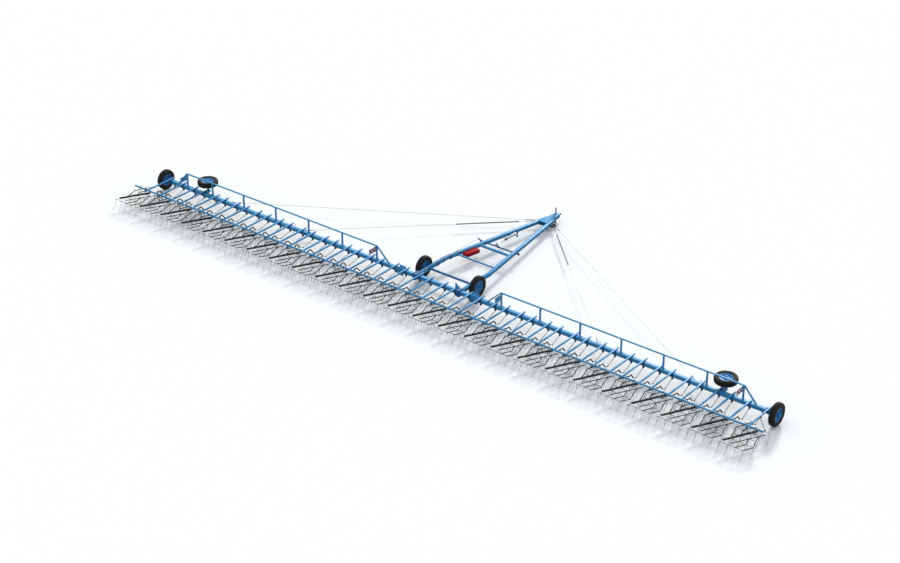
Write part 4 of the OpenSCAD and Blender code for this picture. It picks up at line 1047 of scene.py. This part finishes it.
def pipe_strap():
    """U-bolt over the lift pipe, with its nuts on the arm."""
    bend, leg = 0.0355, arm_top - pipe_z
    arch = [Vector((0, bend * math.cos(a), bend * math.sin(a)))
            for a in (math.pi * k / 10 for k in range(11))]
    bm = bmesh.new()
    wire_into(bm, [Vector((0, bend, leg))] + arch + [Vector((0, -bend, leg))], 0.0045, 6)
    for y in (-bend, bend):
        bm.from_mesh(moved(bolt_mesh(0.014, 0.008, 1.3, 8), Matrix.Translation((0, y, leg))))
    return mesh_from(bm, "pipe_strap")


def arm_plug():
    bm = bmesh.new()
    box_into(bm, (-arm_half, -0.001, -arm_half), (arm_half, 0.003, arm_half))
    bevelled(bm, 0.0015, 1)
    return mesh_from(bm, "arm_plug")


frame_arms = {"centre": ("beam", centre_x)}
for side, sign in sides.items():
    arms = [sign * x for x in wing_x if x < end_arm_x - 0.5]
    frame_arms[side] = (f"{side}_wing", arms + [sign * end_arm_x])
for label, (body, arms) in frame_arms.items():
    held = [x - math.copysign(0.0375, x) if abs(abs(x) - end_arm_x) < 0.001 else x for x in arms]
    clamps = [((x, beam_axis.y, beam_axis.z), (0, 0, 0)) for x in held]
    bolts = [((x + dx, beam_axis.y + face * (beam_half + plate_t), beam_axis.z + dz), facing[face])
             for x in held for face in (-1, 1) for dx in (-bolt_out, bolt_out) for dz in (-bolt_up, bolt_up)]
    straps = [((x + dx, pipe_y, pipe_z), (0, 0, 0)) for x in arms for dx in (-0.013, 0.013)]
    plugs = [((x, y, beam_top + arm_half), (0, 0, turn)) for x in arms
             for y, turn in ((arm_front_y, 0), (arm_rear_y, math.pi))]
    for title, part, marks, finish, slot in (
            ("arm_clamps", arm_clamp(), clamps, deep_blue, "dark_blue_paint"),
            ("clamp_bolts", small_bolt, bolts, deep_blue, "dark_blue_paint"),
            ("pipe_straps", pipe_strap(), straps, bolt_zinc, "bare_steel"),
            ("arm_plugs", arm_plug(), plugs, bar_black, "black_steel")):
        add_piece(f"{label}_{title}", parts_on_marks(part, marks, finish), body, finish)
    print(label, len(arms), "arms,", len(bolts), "clamp bolts")

# %% [markdown]
# ## Feet, bearings and hinges
# The truss posts stand on square feet with a bolt in each corner. The beam bearings are bolted from
# above. At each hinge a large nut closes the pin, and four bolts hold each ear to the centre beam.

# %% Feet, bearing bolts and hinge nuts
foot_half, foot_t, foot_bolt, bearing_half, bearing_x = 0.055, 0.008, 0.042, 0.11485, 0.88
posts_x = [2.5 + 1.471 * n for n in range(6)] + [11.057]
big_bolt, hinge_nut = bolt_mesh(0.030, 0.014), bolt_mesh(0.056, 0.016, 1.3, 24)


def post_foot():
    bm = bmesh.new()
    box_into(bm, (-foot_half, -foot_half, 0), (foot_half, foot_half, foot_t))
    bevelled(bm, 0.002)
    return mesh_from(bm, "post_foot")


for side, sign in sides.items():
    feet = [((sign * x, beam_axis.y, beam_top), (0, 0, 0)) for x in posts_x]
    corners = [((sign * x + dx, beam_axis.y + dy, beam_top + foot_t), (0, 0, 0))
               for x in posts_x for dx in (-foot_bolt, foot_bolt) for dy in (-foot_bolt, foot_bolt)]
    for part, marks, title in ((post_foot(), feet, "post_feet"), (small_bolt, corners, "foot_bolts")):
        add_piece(f"{side}_{title}", parts_on_marks(part, marks, sky_blue), f"{side}_wing", sky_blue)
caps = [((sign * bearing_x + dx, beam_axis.y + dy, beam_axis.z + bearing_half), (0, 0, 0))
        for sign in (-1, 1) for dx in (-0.035, 0.035) for dy in (-0.085, 0.085)]
add_piece("bearing_bolts", parts_on_marks(big_bolt, caps, bolt_zinc), "drawbar", bolt_zinc)
ear_face, hinge_z = 0.073, 0.25
ears = [((sign * x, beam_axis.y + face * ear_face, z), facing[face])
        for sign in (-1, 1) for face in (-1, 1) for x in (1.378, 1.448) for z in (0.328, 0.392)]
pins = [((sign * hinge_x, beam_axis.y + face * ear_face, hinge_z), facing[face])
        for sign in (-1, 1) for face in (-1, 1)]
add_piece("ear_bolts", parts_on_marks(big_bolt, ears, deep_blue), "beam", deep_blue)
add_piece("hinge_nuts", parts_on_marks(hinge_nut, pins, bolt_zinc), "beam", bolt_zinc)
print("feet", 2 * len(posts_x), "ear bolts", len(ears))

# %% [markdown]
# ## Drawbar fittings
# Four bands stiffen the left member on both sides of its bend. The front of each member leans in and
# down, so a matrix that repeats the member's own lean carries what sits on it.

# %% Member sleeves
lean_in, lean_down = math.atan((0.88 - 0.13) / 4.55), math.asin(0.145 / 5.12)
kink = Vector((0, beam_axis.y + 1.5, beam_axis.z))
on_slope = Matrix.Translation(kink) @ Matrix.Rotation(-lean_down, 4, "X")
left_lean = on_slope @ Matrix.Translation((-bearing_x, 0, 0)) @ Matrix.Rotation(-lean_in, 4, "Z")
left_straight = Matrix.Translation((-bearing_x, beam_axis.y, beam_axis.z))
member_half_w, member_half_h = 0.050, 0.060


def member_sleeve(length):
    """Square band round a member, open where the member passes."""
    bm = bmesh.new()
    wide, high, wall = member_half_w, member_half_h, 0.007
    for side in (-1, 1):
        box_into(bm, (side * wide, 0, -high - wall), (side * (wide + wall), length, high + wall))
        box_into(bm, (-wide, 0, side * high), (wide, length, side * (high + wall)))
    bevelled(bm, 0.002)
    return mesh_from(bm, "sleeve")


bm = bmesh.new()
for lean_matrix, y, length in ((left_straight, 0.98, 0.15), (left_straight, 1.30, 0.10),
                               (left_lean, 0.13, 0.10), (left_lean, 0.47, 0.12)):
    bm.from_mesh(moved(member_sleeve(length), lean_matrix @ Matrix.Translation((0, y, 0))))
add_piece("member_sleeves", mesh_from(bm, "sleeves"), "drawbar", deep_blue)
print("sleeves on the left member")

# %% [markdown]
# The tool box has pressed ribs on its front and two hasps that ride on the lid. The jack ends in a
# dark knob with a cross bar, and a dark cap closes the open end of the rock shaft.

# %% Tool box trim, jack knob and shaft cap
box_seat = left_lean @ Matrix.Translation((member_half_w, 0.69, 0))
box_w, box_length = 0.21, 0.58
bm = bmesh.new()
for z in (-0.052, -0.088):
    wire_into(bm, [Vector((box_w - 0.002, y, z)) for y in (0.04, box_length - 0.04)], 0.006, 10)
add_piece("tool_box_ribs", moved(mesh_from(bm, "ribs"), box_seat), "drawbar", box_red)
bm = bmesh.new()
for y in (0.15, box_length - 0.15):
    box_into(bm, (box_w + 0.0034, y - 0.018, -0.036), (box_w + 0.0074, y + 0.018, -0.002))
    box_into(bm, (box_w + 0.0074, y - 0.005, -0.030), (box_w + 0.0154, y + 0.005, -0.012))
bevelled(bm, 0.0012)
add_piece("tool_box_hasps", moved(mesh_from(bm, "hasps"), box_seat), "lid", bar_black)
jack_low, jack_high = box_of("jack_leg")
jack_y = (jack_low.y + jack_high.y) / 2
knob = Vector((0, jack_y, jack_high.z - 0.020))
bm = bmesh.new()
bmesh.ops.create_uvsphere(bm, u_segments=24, v_segments=14, radius=0.024, matrix=Matrix.Translation(knob))
wire_into(bm, [knob + Vector((x, 0, -0.002)) for x in (-0.055, 0.055)], 0.006, 10)
add_piece("jack_knob", mesh_from(bm, "knob"), "jack", bar_black)
shaft_high = box_of("rock_shaft")[1]
shaft_axis = Vector(joints["rocker_turn"]["pos_m"])
cap_from = Vector((shaft_high.x - 0.030, shaft_axis.y, shaft_axis.z))
cap = rod_mesh([(0.0, 0.026), (0.0, 0.040), (0.004, 0.042), (0.026, 0.042), (0.030, 0.038)], 32)
add_piece("rock_shaft_cap", along_way(cap_from, cap_from + Vector((1, 0, 0)), cap), "rocker", bar_black)
print("box trim, jack knob and shaft cap")

# %% [markdown]
# ## Marker plates
# The plates on the end posts carry red and white slanted stripes on one face, for the road. Stripes
# are a rule on a position, so the material adds height and depth, repeats the sum and cuts it in
# half. No picture is needed, and the stripes keep their width in metres.

# %% Marker plates
stripe_pitch = 0.14
stripes, tree, shader = new_finish("striped_sheet", Roughness=0.4, Specular_IOR_Level=0.3)
place = put(tree, "ShaderNodeSeparateXYZ", {0: put(tree, "ShaderNodeTexCoord").outputs["Object"]})
slant = maths(tree, "ADD", place.outputs["Y"], place.outputs["Z"])
wave = maths(tree, "FRACT", maths(tree, "DIVIDE", slant, stripe_pitch))
second = maths(tree, "GREATER_THAN", wave, 0.5)
white_paint = mixed(tree, grain(tree, 9, 0, 1), (0.82, 0.84, 0.85, 1), (0.74, 0.76, 0.77, 1))
red_paint = mixed(tree, grain(tree, 9, 0, 1), (0.46, 0.02, 0.025, 1), (0.38, 0.016, 0.02, 1))
tree.links.new(mixed(tree, second, white_paint, red_paint), shader.inputs["Base Color"])
tree.links.new(grain(tree, 30, 0.3, 0.5), shader.inputs["Roughness"])
inner_face_x, outer_face_x, sheet_t = 2.523, 11.034, 0.001
for side, sign in sides.items():
    node = f"{side}_marker_plates"
    add_piece(node + "_plate", softened(node, 0.0015), body_of_node(node), sky_blue, [node])
    low, high = box_of(node)
    bm = bmesh.new()
    for face, out in ((inner_face_x, -sheet_t), (outer_face_x, sheet_t)):
        box_into(bm, (sign * (face + out * 0.1), low.y + 0.006, low.z + 0.006),
                 (sign * (face + out), beam_axis.y - 0.026, high.z - 0.004))
    add_piece(node + "_stripes", mesh_from(bm, "sheet"), body_of_node(node), stripes)
print("plates striped every", stripe_pitch, "m")
